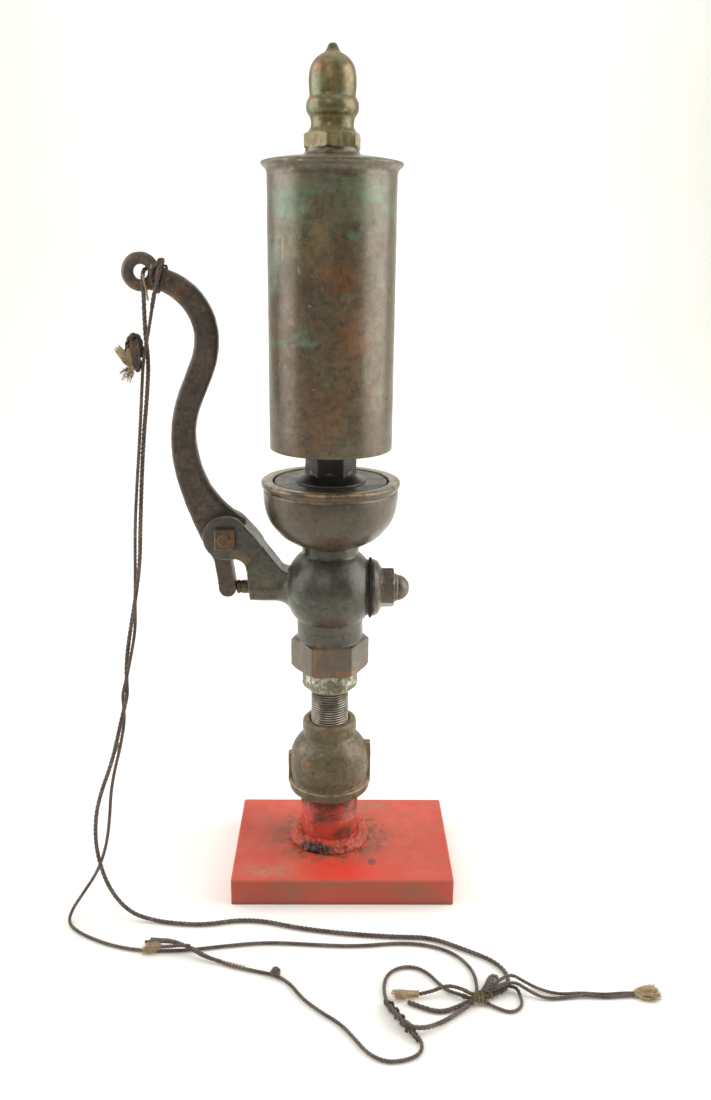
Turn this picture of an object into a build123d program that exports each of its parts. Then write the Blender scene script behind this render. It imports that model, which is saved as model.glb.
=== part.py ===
from build123d import *
import os
from math import atan2, cos, degrees, pi, radians, sin, tan

# Single-bell steam whistle with an integral lever valve, on a pipe riser welded to a
# steel plate. Millimetres, +Z up. The origin is on the whistle's axis at the underside
# of the plate. -X is the lever side, -Y is the front.

# ---- driving dimensions -------------------------------------------------------------

PLATE_SIZE = (156.0, 109.0, 19.05)
PLATE_CENTRE = (10.0, -6.0)
PLATE_EDGE = 0.9
PLATE_CORNER = 1.4

RISER_R = 21.08            # 1 1/4 in pipe
RISER_BORE_R = 17.5
RISER_TOP = 76.0
RISER_THREAD_FROM = 41.0
RISER_PITCH = 2.209        # 11.5 threads per inch
WELD_R = 30.0
WELD_HEIGHT = 7.5

REDUCER_BASE = 60.3
REDUCER_TOP = 115.4
REDUCER_R = 28.2
COLLAR_R = 19.3

NIPPLE_R = 13.335          # 3/4 in pipe
NIPPLE_BORE_R = 10.46
NIPPLE_ENDS = (101.0, 155.0)
NIPPLE_PITCH = 1.814       # 14 threads per inch

BUSHING_FLATS = 35.0
BUSHING_BASE = 141.0
BUSHING_HEX_TOP = 155.7
BUSHING_TOP = 171.0
BUSHING_THREAD_R = 16.7    # 1 in pipe

BODY_BASE = 156.0
BODY_HEX_TOP = 178.0
BODY_FLATS = 47.8
BODY_TURN = 3.5            # degrees that the hexagon is turned from square-on
NECK_R = 23.0
BALL_R = 32.0
CAVITY_R = 26.5
VALVE_Z = 215.0            # height of the ball's centre and of the valve's axis
UPPER_NECK_R = 19.5
CUP_BASE = 247.0

BOSS_R = 9.8
BOSS_FACE_X = -56.0
STEM_R = 4.75
STEM_END_X = -65.0
SPINDLE_R = 3.5
BUSH_R = 7.0
SEAT_R = 12.5
SEAT_BORE_R = 8.0
SEAT_FACE_X = -1.5
VALVE_TRAVEL = 6.0
RUNNING_GAP = 0.05

CAP_FACE_X = 27.0
CAP_THREAD_R = 14.0
GASKET_R = 21.1
SPRING_R = 7.6
SPRING_WIRE_R = 0.9
SPRING_TURNS = 6

PIVOT = (-71.0, 253.0)
CHEEK_R = 15.3
CHEEK_OUTER_Y = 12.25
CHEEK_INNER_Y = 6.25
ARM_HALF_Y = 9.5
HUB_R = 12.2
HUB_SLOT_R = 12.6
STOP_ANGLE = 32.0
LEVER_HALF_Y = 6.0
LEVER_EDGE = 3.6
PIVOT_BOLT_R = 4.76
BOLT_HEAD = 13.7
EYE = (-121.6, 426.0)
EYE_RING_R = 8.45
EYE_WIRE_R = 3.9
TOE_R = 6.0
TOE_GAP = 0.1

CUP_R = 45.6
CUP_RIM_R = 47.1
CUP_TOP = 292.0
SLOT_OUTER_R = 39.2
LANGUID_R = 38.1           # 3 in disc
LANGUID_THICK = 6.0
STEM_HEX_FLATS = 30.5
STEM_HEX_TOP = 332.0
BELL_STEM_R = 6.35         # 1/2 in rod
BELL_STEM_ENDS = (250.0, 546.0)

BELL_R = 40.76
BELL_WALL = 2.5
BELL_BASE = 313.5
BELL_SEAM = 484.0
BELL_RIM_R = 44.6
HEAD_Z = 496.5
ACORN_BASE = 500.5
ACORN_FLATS = 33.2
ACORN_TIP = 560.0

CORD_D = 3.0
TWINE_D = 2.4
TAIL_D = 2.2

# ---- cord routes: points chosen by hand, in millimetres -------------------------------

HITCH = [
    (-119, -7.6, 404), (-118.82, -8.04, 411), (-119.3, -6.5, 418), (-119.6, -4.3, 424.2),
    (-119.5, 1, 427.3), (-118, 6, 428), (-112, 8.6, 426.5), (-108.6, 6.6, 432),
    (-107.3, 0, 433.8), (-107.4, -6.8, 432), (-108.8, -9.2, 425), (-110.8, -9.2, 417),
    (-112.89, -6.92, 410.4), (-114, -7.6, 404),
]
LINE_A = [
    (-119, -7.6, 404), (-119.4, -6.6, 388), (-118, -5.9, 371), (-119.6, -7.2, 350), (-123.2, -8, 322),
    (-125.4, -11.2, 292), (-126.7, -17, 261.5), (-127.2, -22.4, 237), (-130.7, -29.3, 212),
    (-134, -32.2, 194), (-137, -34.8, 174), (-137, -38.2, 162), (-136, -42.2, 152),
    (-137.9, -47.2, 143), (-140, -49.8, 134.5), (-143.7, -53.9, 117.5), (-147.8, -57.5, 103.5),
    (-153.6, -62.2, 88), (-157.2, -66.5, 71), (-156.6, -71.6, 50), (-149.5, -75, 24), (-136, -77, 6),
    (-119, -80, 1.6), (-101, -83.5, 1.6), (-82, -84.5, 1.6), (-62, -79.5, 1.6), (-43, -80.5, 1.6),
    (-20, -88, 1.6), (14, -94, 1.6), (45, -97, 1.6), (69, -97.5, 1.6), (90, -109.5, 1.6),
    (107, -121, 1.6), (113.5, -136, 1.6), (109, -149, 1.8), (97.5, -155, 3),
]
LINE_B = [
    (-114, -7.6, 404), (-116.6, -9.2, 389), (-120.7, -9.3, 373), (-123.1, -8.2, 350), (-125.3, -10.2, 322),
    (-128, -13.6, 292), (-130.2, -17.4, 261.5), (-130.6, -21, 237), (-131.1, -25.4, 212),
    (-130.7, -30.4, 194), (-134, -38.6, 174), (-136.6, -41.6, 162), (-139.4, -42.8, 152),
    (-138.7, -44, 143), (-137.9, -46.7, 134.5), (-140.7, -52, 117.5), (-144.2, -57, 103.5),
    (-146.8, -61.6, 88), (-147.6, -65.6, 71), (-150.6, -68, 51), (-157, -69.5, 33), (-168, -70.5, 16),
    (-175.5, -73, 5), (-176, -82, 1.3), (-168, -91, 1.3), (-154, -99.8, 1.3), (-137, -107, 1.3),
    (-118, -110.8, 1.3), (-93, -110.5, 1.3), (-66, -105.5, 1.3), (-38, -102, 1.3), (-10, -104.5, 1.3),
    (20, -106.2, 1.3), (48, -102.5, 1.3), (68, -105, 1.3), (83, -113, 1.3), (92, -126, 1.3),
    (94.5, -139, 1.3), (93, -150, 3),
]
LINE_C = [
    (-120, -103.5, 2.6), (-111, -104.5, 4), (-100, -108.5, 6.4), (-89, -113, 6.4),
    (-77, -118.5, 2.6), (-62, -124.5, 1.3), (-45, -130, 1.3), (-32, -133.5, 1.3),
    (-22.5, -141.5, 1.3), (-15, -154, 1.3), (-4, -165, 1.3), (8.5, -175, 1.3),
    (17, -187, 1.3), (24, -198, 1.3), (34, -204.5, 1.3), (45, -203.5, 1.3), (54.5, -199, 1.3),
    (56.5, -190, 1.3), (50.5, -179, 1.3), (42.5, -169, 1.3), (36.5, -157, 1.3),
    (35.5, -144, 1.3), (38.5, -132.5, 1.3), (47, -126, 1.3), (57, -126, 1.3),
    (65, -132.5, 1.3), (70.5, -142, 1.3), (77.5, -149.5, 1.3), (86.5, -153.8, 2.5),
]
LINE_G = [
    (38.2, -166.5, 5.6), (43, -174.5, 5.8), (48.5, -182.5, 5.8), (57.5, -183, 5), (66.5, -176.5, 2),
    (76.5, -169.5, 1.6), (86, -162, 2.6),
]
END_E = [
    (57, -152.2, 2.8), (65, -151, 3.6), (73, -149.2, 6.4), (80.5, -150, 6.4), (87, -153.2, 5.4),
]
LOOP_F = [
    (50, -157.5, 1.5), (58, -162, 1.5), (68, -166, 1.5), (77.5, -163.4, 1.5), (85.8, -158.4, 1.8),
]
LOOP_I = [
    (97.8, -158.2, 1.3), (104, -162.5, 1.2), (111, -166, 1.2), (117.5, -163.5, 1.2),
    (120.5, -157, 1.2), (119.3, -150.6, 1.4),
]
BIGHT_H = [
    (96.4, -149.4, 2), (98.6, -146, 1.6), (100.9, -142.2, 1.4), (103.2, -138.6, 1.4), (105.8, -137.9, 1.4),
    (108.1, -139.3, 1.4), (108.7, -142, 1.4), (106.4, -145.9, 1.6), (102.8, -148.6, 2),
]
TAIL_1 = [
    (103.5, -147.5, 5.5), (109.5, -143, 7), (116.5, -139.8, 7), (124, -141.8, 3), (133, -146.6, 1.3),
    (144, -150.2, 1.3), (158, -149.8, 1.3), (172, -150.6, 1.3), (185.8, -149, 1.4),
]
TAIL_2 = [
    (104.4, -151.3, 5.5), (110.5, -148.6, 7.2), (117.5, -146.8, 7.2), (126, -150.6, 3), (135.5, -154.8, 1.3),
    (148, -155.4, 1.3), (160, -153.4, 1.3), (173, -155.2, 1.3), (185.6, -152.7, 1.4),
]


# ---- helpers ------------------------------------------------------------------------

def outline(start, *steps):
    """Face in the XZ plane. A step is the next point, or (middle, end) of an arc."""
    edges = []
    here = start
    for step in steps:
        if step == here:
            continue
        curved = isinstance(step[0], tuple)
        end = step[1] if curved else step
        places = [(p[0], 0, p[1]) for p in ((here, *step) if curved else (here, step))]
        edges.append(ThreePointArc(*places) if curved else Line(*places))
        here = end
    if here != start:
        edges.append(Line((here[0], 0, here[1]), (start[0], 0, start[1])))
    return Face(Wire(edges))


def turned(*steps):
    """Solid of revolution about Z from an outline of (radius, height) steps, seam at the back."""
    return Rot(0, 0, 90) * revolve(outline(*steps), Axis.Z)


def turned_x(*steps):
    """Solid of revolution about the valve's axis from an outline of (X, radius) steps."""
    axis = Axis((0, 0, VALVE_Z), (1, 0, 0))
    lifted = [
        tuple((x, z + VALVE_Z) for x, z in step) if isinstance(step[0], tuple)
        else (step[0], step[1] + VALVE_Z)
        for step in steps
    ]
    return revolve(outline(*lifted), axis)


def slab(face, low_y, high_y):
    """Extrude an XZ face from Y = low_y to high_y."""
    return Pos(0, low_y, 0) * extrude(face, high_y - low_y, dir=(0, 1, 0))


def block(low, high):
    """Box between two corners."""
    size = [h - l for l, h in zip(low, high)]
    middle = [(h + l) / 2 for l, h in zip(low, high)]
    return Pos(*middle) * Box(*size)


def tube_z(radius, low, high, bore=0):
    """Cylinder or tube on the whistle's axis."""
    outer = turned((bore, low), (radius, low), (radius, high), (bore, high))
    return outer


def hex_prism(flats, low, high, turn=0, top_cut=0, base_cut=0):
    """Hexagon bar on the axis with turned chamfers on its corners."""
    bar = extrude(Plane.XY.offset(low) * RegularPolygon(flats / 2, 6, major_radius=False), high - low)
    bar = Rot(0, 0, turn) * bar
    corner = flats / 2 / cos(pi / 6) + 0.01
    cutter = turned(
        (0, low), (corner - 2 * base_cut, low), (corner, low + base_cut),
        (corner, high - top_cut), (corner - 2 * top_cut, high), (0, high),
    )
    return bar & cutter if top_cut or base_cut else bar


def threaded_outline(radius, bore, low, high, thread_from, thread_to, pitch):
    """Pipe outline with a ring of thread per pitch between two heights."""
    depth = 0.6 * pitch
    steps = [(bore, low), (radius, low)]
    z = thread_from
    while z + pitch <= thread_to:
        steps += [(radius, z + 0.1 * pitch), (radius - depth, z + 0.5 * pitch), (radius, z + 0.9 * pitch)]
        z += pitch
    steps += [(radius, high), (bore, high)]
    return steps


def corner_radii(points):
    """Arc radius at each inner point: 0.45 of the shorter run over tan(half the turn)."""
    radii = []
    for before, here, after in zip(points, points[1:], points[2:]):
        run_in = Vector(*here) - Vector(*before)
        run_out = Vector(*after) - Vector(*here)
        half_turn = radians(run_in.get_angle(run_out)) / 2
        radii.append(0.45 * min(run_in.length, run_out.length) / tan(half_turn))
    return radii


def cord(name, points, diameter):
    """Tube along straight runs joined by tangent arcs."""
    radii = corner_radii(points)
    path = Wire(FilletPolyline(*points, radius=radii).edges())
    section = Plane(origin=path @ 0, z_dir=path % 0) * Circle(diameter / 2)
    solid = sweep(section, path=path)
    expected = pi * diameter**2 / 4 * path.length
    print(f"{name}: length {path.length:.0f}, volume {solid.volume / expected:.4f} of section x length,")
    print("   radii " + " ".join(f"{r:.0f}" for r in radii))
    return solid


def button(centre, radius, height, edge):
    """Flat round lump with rounded edges, for a knot."""
    lump = Cylinder(radius, height)
    return Pos(*centre) * fillet(lump.edges().filter_by(GeomType.CIRCLE), edge)


# ---- plate, riser and pipe fittings -----------------------------------------------------

def base_plate():
    plate = Pos(*PLATE_CENTRE, PLATE_SIZE[2] / 2) * Box(*PLATE_SIZE)
    plate = fillet(plate.edges().filter_by(Axis.Z), PLATE_CORNER)
    return chamfer(plate.edges().group_by(Axis.Z)[-1], PLATE_EDGE)


def base_weld():
    z = PLATE_SIZE[2]
    middle = (RISER_R + 0.68 * (WELD_R - RISER_R), z + 0.68 * WELD_HEIGHT)
    return turned((RISER_R, z), (WELD_R, z), (middle, (RISER_R, z + WELD_HEIGHT)))


def riser_pipe():
    return turned(*threaded_outline(
        RISER_R, RISER_BORE_R, PLATE_SIZE[2], RISER_TOP, RISER_THREAD_FROM, RISER_TOP - 1, RISER_PITCH))


def reducer_rib(angle, top):
    """Wrench rib down one side of the reducer."""
    rib = block((0, -3, REDUCER_BASE + 4), (REDUCER_R + 1.9, 3, top))
    return Rot(0, 0, angle) * rib


def bell_reducer():
    base, top = REDUCER_BASE, REDUCER_TOP
    shape = turned(
        (0, base), (REDUCER_R - 0.3, base), (REDUCER_R + 1.1, base + 1.4), (REDUCER_R + 1.1, base + 7),
        (REDUCER_R - 1.3, base + 8.2), ((REDUCER_R + 0.1, base + 16), (REDUCER_R, base + 24)),
        ((REDUCER_R - 2.2, base + 33.8), (COLLAR_R - 0.6, base + 42.5)),
        (COLLAR_R - 0.6, base + 44), ((COLLAR_R + 0.1, base + 48), (COLLAR_R, base + 52)),
        ((COLLAR_R - 0.6, top - 1), (COLLAR_R - 2.2, top)), (0, top),
    )
    shape += reducer_rib(180, base + 27)
    shape += reducer_rib(0, base + 36)
    bore = turned(
        (0, base - 1), (RISER_R, base - 1), (RISER_R, base + 20), (RISER_BORE_R, base + 22),
        (NIPPLE_BORE_R, base + 38), (NIPPLE_BORE_R, base + 40), (NIPPLE_R, base + 40),
        (NIPPLE_R, top - 1.6), (NIPPLE_R + 1.6, top - 1.6), (NIPPLE_R + 1.6, top + 1), (0, top + 1),
    )
    return shape - bore


def pipe_nipple():
    low, high = NIPPLE_ENDS
    return turned(*threaded_outline(
        NIPPLE_R, NIPPLE_BORE_R, low, high, low + 1, high - 1, NIPPLE_PITCH))


def hex_bushing():
    head = hex_prism(BUSHING_FLATS, BUSHING_BASE, BUSHING_HEX_TOP, 0, 0.8, 0.8)
    shank = tube_z(BUSHING_THREAD_R, BUSHING_HEX_TOP - 1, BUSHING_TOP)
    bore = tube_z(NIPPLE_R, BUSHING_BASE - 1, NIPPLE_ENDS[1])
    through = tube_z(NIPPLE_BORE_R, BUSHING_BASE, BUSHING_TOP + 1)
    return head + shank - bore - through


# ---- valve body ---------------------------------------------------------------------------

def fork_outline():
    """Side shape of the lever bracket: an arm from the ball with a round end at the pivot."""
    x, z = PIVOT
    slant = radians(42)
    tangent = (x + CHEEK_R * cos(slant), z + CHEEK_R * sin(slant))
    foot = (x + 1, z - CHEEK_R + 0.03)
    return outline(
        foot, (-64.5, 238.2), ((-59.6, 235.8), (-57.2, 229.5)), (-56.4, VALVE_Z),
        (-20, VALVE_Z), (-22, 232), (-28.5, 228), ((-32.5, 229.3), (-35, 232)),
        (-43, 242.5), (-51.5, 254.2), tangent, ((x - CHEEK_R, z), foot),
    )


def lever_slot():
    """Room between the cheeks: a round pocket for the hub, open from the stop to the window."""
    x, z = PIVOT
    reach = 45
    open_angles = (STOP_ANGLE, 90, 180, 235, 300)
    fan = [(x + reach * cos(radians(a)), z + reach * sin(radians(a))) for a in open_angles]
    wedge = slab(outline((x, z), *fan), -CHEEK_INNER_Y, CHEEK_INNER_Y)
    pocket = slab(Pos(x, 0, z) * Rot(90, 0, 0) * Circle(HUB_SLOT_R).face(), -CHEEK_INNER_Y, CHEEK_INNER_Y)
    return wedge + pocket


def lever_bracket():
    shape = fork_outline()
    upper_left = outline((-110, 200), (-56.7, 200), (-56.7, 234.8), (-40, 255), (-40, 300), (-110, 300))
    cheeks = slab(shape & upper_left, -CHEEK_OUTER_Y, CHEEK_OUTER_Y)
    arm = slab(shape, -ARM_HALF_Y, ARM_HALF_Y)
    x, z = PIVOT
    pin = slab(Pos(x, 0, z) * Rot(90, 0, 0) * Circle(PIVOT_BOLT_R).face(), -20, 20)
    return cheeks + arm - lever_slot() - pin


def steam_passages():
    """Inlet chamber on the cap side, outlet chamber on the lever side, and their bores."""
    ball = Pos(0, 0, VALVE_Z) * Sphere(CAVITY_R)
    inlet = ball & block((-2, -40, 190), (40, 40, 231))
    inlet += tube_z(12.5, BODY_BASE - 1, 186)
    inlet += tube_z(12.5, 185, 196) & block((-2, -40, 180), (40, 40, 200))
    outlet = ball & block((-40, -40, 192), (-7, 40, 245))
    outlet += ball & block((-10, -40, 236), (40, 40, 245))
    outlet += tube_z(13.5, 237, CUP_BASE + 1)
    thread = tube_z(BUSHING_THREAD_R, BODY_BASE - 1, BUSHING_TOP)
    return inlet + outlet + thread


def valve_body():
    ball_low = VALVE_Z - (BALL_R**2 - NECK_R**2) ** 0.5
    ball_high = VALVE_Z + (BALL_R**2 - UPPER_NECK_R**2) ** 0.5
    shape = turned(
        (0, BODY_HEX_TOP - 1), (NECK_R, BODY_HEX_TOP - 1), (NECK_R, 187.2), (NECK_R - 0.5, 187.6),
        (NECK_R, 188), (NECK_R, ball_low), ((BALL_R, VALVE_Z), (UPPER_NECK_R, ball_high)),
        (UPPER_NECK_R, CUP_BASE), (0, CUP_BASE),
    )
    shape += hex_prism(BODY_FLATS, BODY_BASE, BODY_HEX_TOP, BODY_TURN, 1.3, 1.3)
    shape += turned_x((BOSS_FACE_X, 0), (BOSS_FACE_X, BOSS_R), (-38, BOSS_R),
                      ((-31, 12), (-25.6, 19.1)), (-20, 19.1), (-20, 0))
    shape += turned_x((10, 0), (10, 19.5), (CAP_FACE_X, 19.5), (CAP_FACE_X, 0))
    shape -= turned_x((CAP_FACE_X, 0), (CAP_FACE_X, 30), (40, 30), (40, 0))
    shape += lever_bracket()
    shape -= steam_passages()
    shape -= turned_x((-60, 0), (-60, BUSH_R), (-22, BUSH_R), (-22, 0))
    shape -= turned_x((-8, 0), (-8, SEAT_R), (0, SEAT_R), (0, 0))
    shape -= turned_x((12, 0), (12, CAP_THREAD_R), (30, CAP_THREAD_R), (30, 0))
    return shape


# ---- valve trim ---------------------------------------------------------------------------

def valve_seat():
    ring = turned_x((-7, SEAT_BORE_R), (-7, SEAT_R), (-2, SEAT_R), (SEAT_FACE_X, SEAT_R - 1.5),
                    (SEAT_FACE_X, SEAT_BORE_R))
    return ring


def stem_bush():
    bore = STEM_R + RUNNING_GAP
    return turned_x((BOSS_FACE_X, bore), (BOSS_FACE_X, BUSH_R), (-30, BUSH_R), (-30, bore))


def valve_stem():
    groove = STEM_R - 0.6
    return turned_x(
        (STEM_END_X, 0), (STEM_END_X, STEM_R - 0.5), (STEM_END_X + 0.5, STEM_R),
        (-62.6, STEM_R), (-62.4, groove), (-61.6, groove), (-61.4, STEM_R),
        (-10, STEM_R), (-8.5, SPINDLE_R), (44, SPINDLE_R), (44, 0),
    )


def disc_washer():
    return turned_x((SEAT_FACE_X, SPINDLE_R), (SEAT_FACE_X, 11), (1.5, 11), (1.5, SPINDLE_R))


def disc_holder():
    return turned_x((1.5, SPINDLE_R), (1.5, 12.6), (3.5, 12.6), (6, 9.5), (6, SPINDLE_R))


def disc_nut():
    nut = extrude(Plane.YZ.offset(6) * RegularPolygon(5.5, 6, major_radius=False), 5)
    bore = extrude(Plane.YZ.offset(5) * Circle(SPINDLE_R), 8)
    return Pos(0, 0, VALVE_Z) * (nut - bore)


def return_spring():
    """Helical compression spring of round wire between the disc holder and the cap."""
    low, high = 6 + SPRING_WIRE_R, 31 - SPRING_WIRE_R
    pitch = (high - low) / SPRING_TURNS
    coil = Helix(pitch=pitch, height=high - low, radius=SPRING_R)
    section = Plane(origin=coil @ 0, z_dir=coil % 0) * Circle(SPRING_WIRE_R)
    wire = sweep(section, path=coil, is_frenet=True)
    return Pos(low, 0, VALVE_Z) * Rot(0, 90, 0) * wire


def cap_gasket():
    return turned_x((CAP_FACE_X, CAP_THREAD_R), (CAP_FACE_X, GASKET_R), (CAP_FACE_X + 1.6, GASKET_R),
                    (CAP_FACE_X + 1.6, CAP_THREAD_R))


def valve_cap():
    face = CAP_FACE_X + 1.6
    shape = turned_x(
        (14, 9.2), (14, CAP_THREAD_R), (face, CAP_THREAD_R), (face, GASKET_R - 1.2), (face + 1.8, GASKET_R - 1.2),
        (33, 18.4), (36, 13.4), (36, 9.9), (46.2, 9.9), (46.6, 9), ((50.5, 8), (53.4, 5.4)),
        ((54.6, 3.4), (55, 1.5)), (55, 0), (31, 0), (31, 9.2),
    )
    hexagon = extrude(Plane.YZ.offset(35.5) * RegularPolygon(12.4, 6, major_radius=False), 8.9)
    hexagon = Pos(0, 0, VALVE_Z) * Rot(30, 0, 0) * hexagon
    shape += hexagon & turned_x((35, 0), (35, 14.4), (43.4, 14.4), (44.4, 13), (44.4, 0))
    guide = SPINDLE_R + RUNNING_GAP
    return shape - turned_x((30, 0), (30, guide), (51.5, guide), (51.5, 0))


# ---- lever --------------------------------------------------------------------------------

def lever_arm_face():
    """S-curved arm from the shoulder above the pivot to the neck of the eye."""
    outer = [(-57.6, 264.4), (-70, 273.6), (-79.5, 284.5), (-88.2, 306), (-89.6, 328), (-83, 348.5),
             (-74.6, 371), (-73.6, 391), (-82, 411.5), (-96, 423.8), (-108, 429), (-114, 431.5)]
    inner = [(-114.5, 416.2), (-105, 412.2), (-94, 402), (-88.6, 385), (-92.4, 368.5), (-101.6, 345.5),
             (-106.2, 320), (-104.6, 298), (-98, 274), (-88.6, 250)]
    curve_out = Spline(*[(x, 0, z) for x, z in outer])
    curve_in = Spline(*[(x, 0, z) for x, z in inner])
    x, z = PIVOT
    stop = radians(STOP_ANGLE + 0.7)
    lip = (x + 16.9 * cos(stop), z + 16.9 * sin(stop))
    root = (x + 9 * cos(stop), z + 9 * sin(stop))
    close_neck = Line(curve_out @ 1, curve_in @ 0)
    left = Line(curve_in @ 1, (-80, 0, 236))
    base = Line((-80, 0, 236), (x, 0, z - 6))
    right = Line((x, 0, z - 6), (root[0], 0, root[1]))
    stop_face = Line((root[0], 0, root[1]), (lip[0], 0, lip[1]))
    nose = Line((lip[0], 0, lip[1]), curve_out @ 0)
    return Face(Wire([curve_out, close_neck, curve_in, left, base, right, stop_face, nose]))


def toe_face():
    """Toe below the pivot, with a round end that pushes the valve stem."""
    x, z = PIVOT
    tip_x = STEM_END_X - TOE_GAP - TOE_R
    return outline(
        (-81.5, 243), (-79.6, 234), (-77.9, 224), (tip_x - TOE_R, VALVE_Z),
        ((tip_x, VALVE_Z - TOE_R), (tip_x + TOE_R, VALVE_Z)), (-66.7, 226.5), (-68.4, 236), (-68, 245),
    )


def whistle_lever():
    x, z = PIVOT
    arm = slab(lever_arm_face(), -LEVER_HALF_Y, LEVER_HALF_Y)
    long_edges = [e for e in arm.edges() if e.length > 100]
    arm = fillet(long_edges, LEVER_EDGE)
    hub = slab(Pos(x, 0, z) * Rot(90, 0, 0) * Circle(HUB_R).face(), -LEVER_HALF_Y, LEVER_HALF_Y)
    toe = slab(toe_face(), -LEVER_HALF_Y, LEVER_HALF_Y)
    ring = Pos(EYE[0], 0, EYE[1]) * Rot(90, 0, 0) * Torus(EYE_RING_R, EYE_WIRE_R)
    hole = Pos(EYE[0], 0, EYE[1]) * Rot(90, 0, 0) * Cylinder(EYE_RING_R - EYE_WIRE_R, 20)
    bore = slab(Pos(x, 0, z) * Rot(90, 0, 0) * Circle(PIVOT_BOLT_R + RUNNING_GAP).face(), -20, 20)
    return arm + hub + toe + ring - hole - bore


def pivot_bolt():
    x, z = PIVOT
    head = block((x - BOLT_HEAD / 2, -CHEEK_OUTER_Y - 6, z - BOLT_HEAD / 2),
                 (x + BOLT_HEAD / 2, -CHEEK_OUTER_Y, z + BOLT_HEAD / 2))
    head = chamfer(head.edges().group_by(Axis.Y)[0], 0.9)
    crown = Pos(x, -CHEEK_OUTER_Y - 6, z) * Rot(90, 0, 0) * Cylinder(4.2, 1.6)
    shank = slab(Pos(x, 0, z) * Rot(90, 0, 0) * Circle(PIVOT_BOLT_R).face(), -CHEEK_OUTER_Y - 1, 24)
    return head + crown + shank


def pivot_washer():
    x, z = PIVOT
    ring = slab(Pos(x, 0, z) * Rot(90, 0, 0) * Circle(10.5).face(), CHEEK_OUTER_Y, CHEEK_OUTER_Y + 1.6)
    return ring - slab(Pos(x, 0, z) * Rot(90, 0, 0) * Circle(PIVOT_BOLT_R).face(), 0, 20)


def pivot_nut():
    x, z = PIVOT
    low = CHEEK_OUTER_Y + 1.6
    nut = block((x - 7.1, low, z - 7.1), (x + 7.1, low + 7.5, z + 7.1))
    nut = chamfer(nut.edges().group_by(Axis.Y)[-1], 0.9)
    return nut - slab(Pos(x, 0, z) * Rot(90, 0, 0) * Circle(PIVOT_BOLT_R).face(), 0, 30)


# ---- cup, bell and finial ---------------------------------------------------------------------

def whistle_cup():
    shape = turned(
        (0, CUP_BASE), (UPPER_NECK_R - 0.8, CUP_BASE), (25.5, CUP_BASE + 2),
        ((37.5, 258.4), (44.6, 271.5)), ((CUP_R, 278), (CUP_R, 285.2)), (CUP_R - 0.6, 286), (CUP_R + 0.4, 287.2),
        ((CUP_RIM_R, 289.4), (CUP_RIM_R - 0.7, CUP_TOP - 0.4)), (CUP_RIM_R - 1.4, CUP_TOP), (0, CUP_TOP),
    )
    shape -= turned(
        (0, 256), (22, 256), ((33.5, 261.5), (40.6, 272)), (41.4, 281), (SLOT_OUTER_R, 285),
        (SLOT_OUTER_R, CUP_TOP + 1), (0, CUP_TOP + 1),
    )
    ports = [Rot(0, 0, 60 * i) * Pos(10.4, 0, 252) * Cylinder(2.7, 20) for i in range(6)]
    for port in ports:
        shape -= port
    return shape - tube_z(BELL_STEM_R, CUP_BASE - 1, 260)


def languid_plate():
    low = CUP_TOP - LANGUID_THICK - 0.6
    top = CUP_TOP - 0.6
    return turned((BELL_STEM_R, low), (LANGUID_R - 1, low), (LANGUID_R, low + 1), (LANGUID_R, top),
                  (BELL_STEM_R, top))


def stem_hex():
    low = CUP_TOP - 0.6
    skirt = turned((BELL_STEM_R, low), (24, low), (23, low + 1.2), (15.5, low + 5), (BELL_STEM_R, low + 5))
    bar = hex_prism(STEM_HEX_FLATS, low + 2, STEM_HEX_TOP, 0, 1, 0)
    return skirt + bar - tube_z(BELL_STEM_R, low - 1, STEM_HEX_TOP + 1)


def bell_stem():
    low, high = BELL_STEM_ENDS
    return turned((0, low), (BELL_STEM_R - 0.8, low), (BELL_STEM_R, low + 0.8), (BELL_STEM_R, high - 0.8),
                  (BELL_STEM_R - 0.8, high), (0, high))


def bell_shell():
    return turned((BELL_R - BELL_WALL, BELL_BASE), (BELL_R, BELL_BASE), (BELL_R, BELL_SEAM),
                  (BELL_R - BELL_WALL, BELL_SEAM))


def bell_head():
    spigot = BELL_R - BELL_WALL
    return turned(
        (BELL_STEM_R, 488), (spigot - 3, 488), (spigot - 3, 476), (spigot, 476), (spigot, BELL_SEAM),
        (BELL_R, BELL_SEAM), ((BELL_R + 0.9, 488), (BELL_RIM_R - 0.8, 490.2)),
        ((BELL_RIM_R, 491.4), (BELL_RIM_R - 0.8, 492.6)), ((32, 495.2), (19.5, HEAD_Z)),
        ((17.5, 497.4), (16.85, ACORN_BASE)), (BELL_STEM_R, ACORN_BASE),
    )


def acorn_nut():
    low = ACORN_BASE
    shape = turned(
        (0, low + 8), (15.9, low + 8), ((13.1, 514.2), (14.6, 519.4)), (15.6, 520.4),
        ((16.35, 524.4), (15.3, 528.2)), (14.1, 530.2), ((14.75, 539), (13, 547.4)),
        ((10.2, 551.2), (6.6, 553.6)), ((3.4, 556.6), (2.2, ACORN_TIP - 0.5)), (1.7, ACORN_TIP), (0, ACORN_TIP),
    )
    shape += hex_prism(ACORN_FLATS, low, low + 8.5, 23, 1.1, 0.6)
    return shape - tube_z(BELL_STEM_R, low - 1, BELL_STEM_ENDS[1])


# ---- knots and ends on the cord ------------------------------------------------------------

def tassel():
    shape = Polyline((185.5, -148), (191, -146.5), (209.5, -142), (203.5, -156), (189, -153.5), (185.5, -153.6),
                     close=True)
    return Pos(0, 0, 0.2) * extrude(make_face(shape), 4.2)


def sleeve(low, high, diameter):
    start, end = Vector(*low), Vector(*high)
    plane = Plane(origin=start, z_dir=end - start)
    return extrude(plane * Circle(diameter / 2), (end - start).length)


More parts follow.
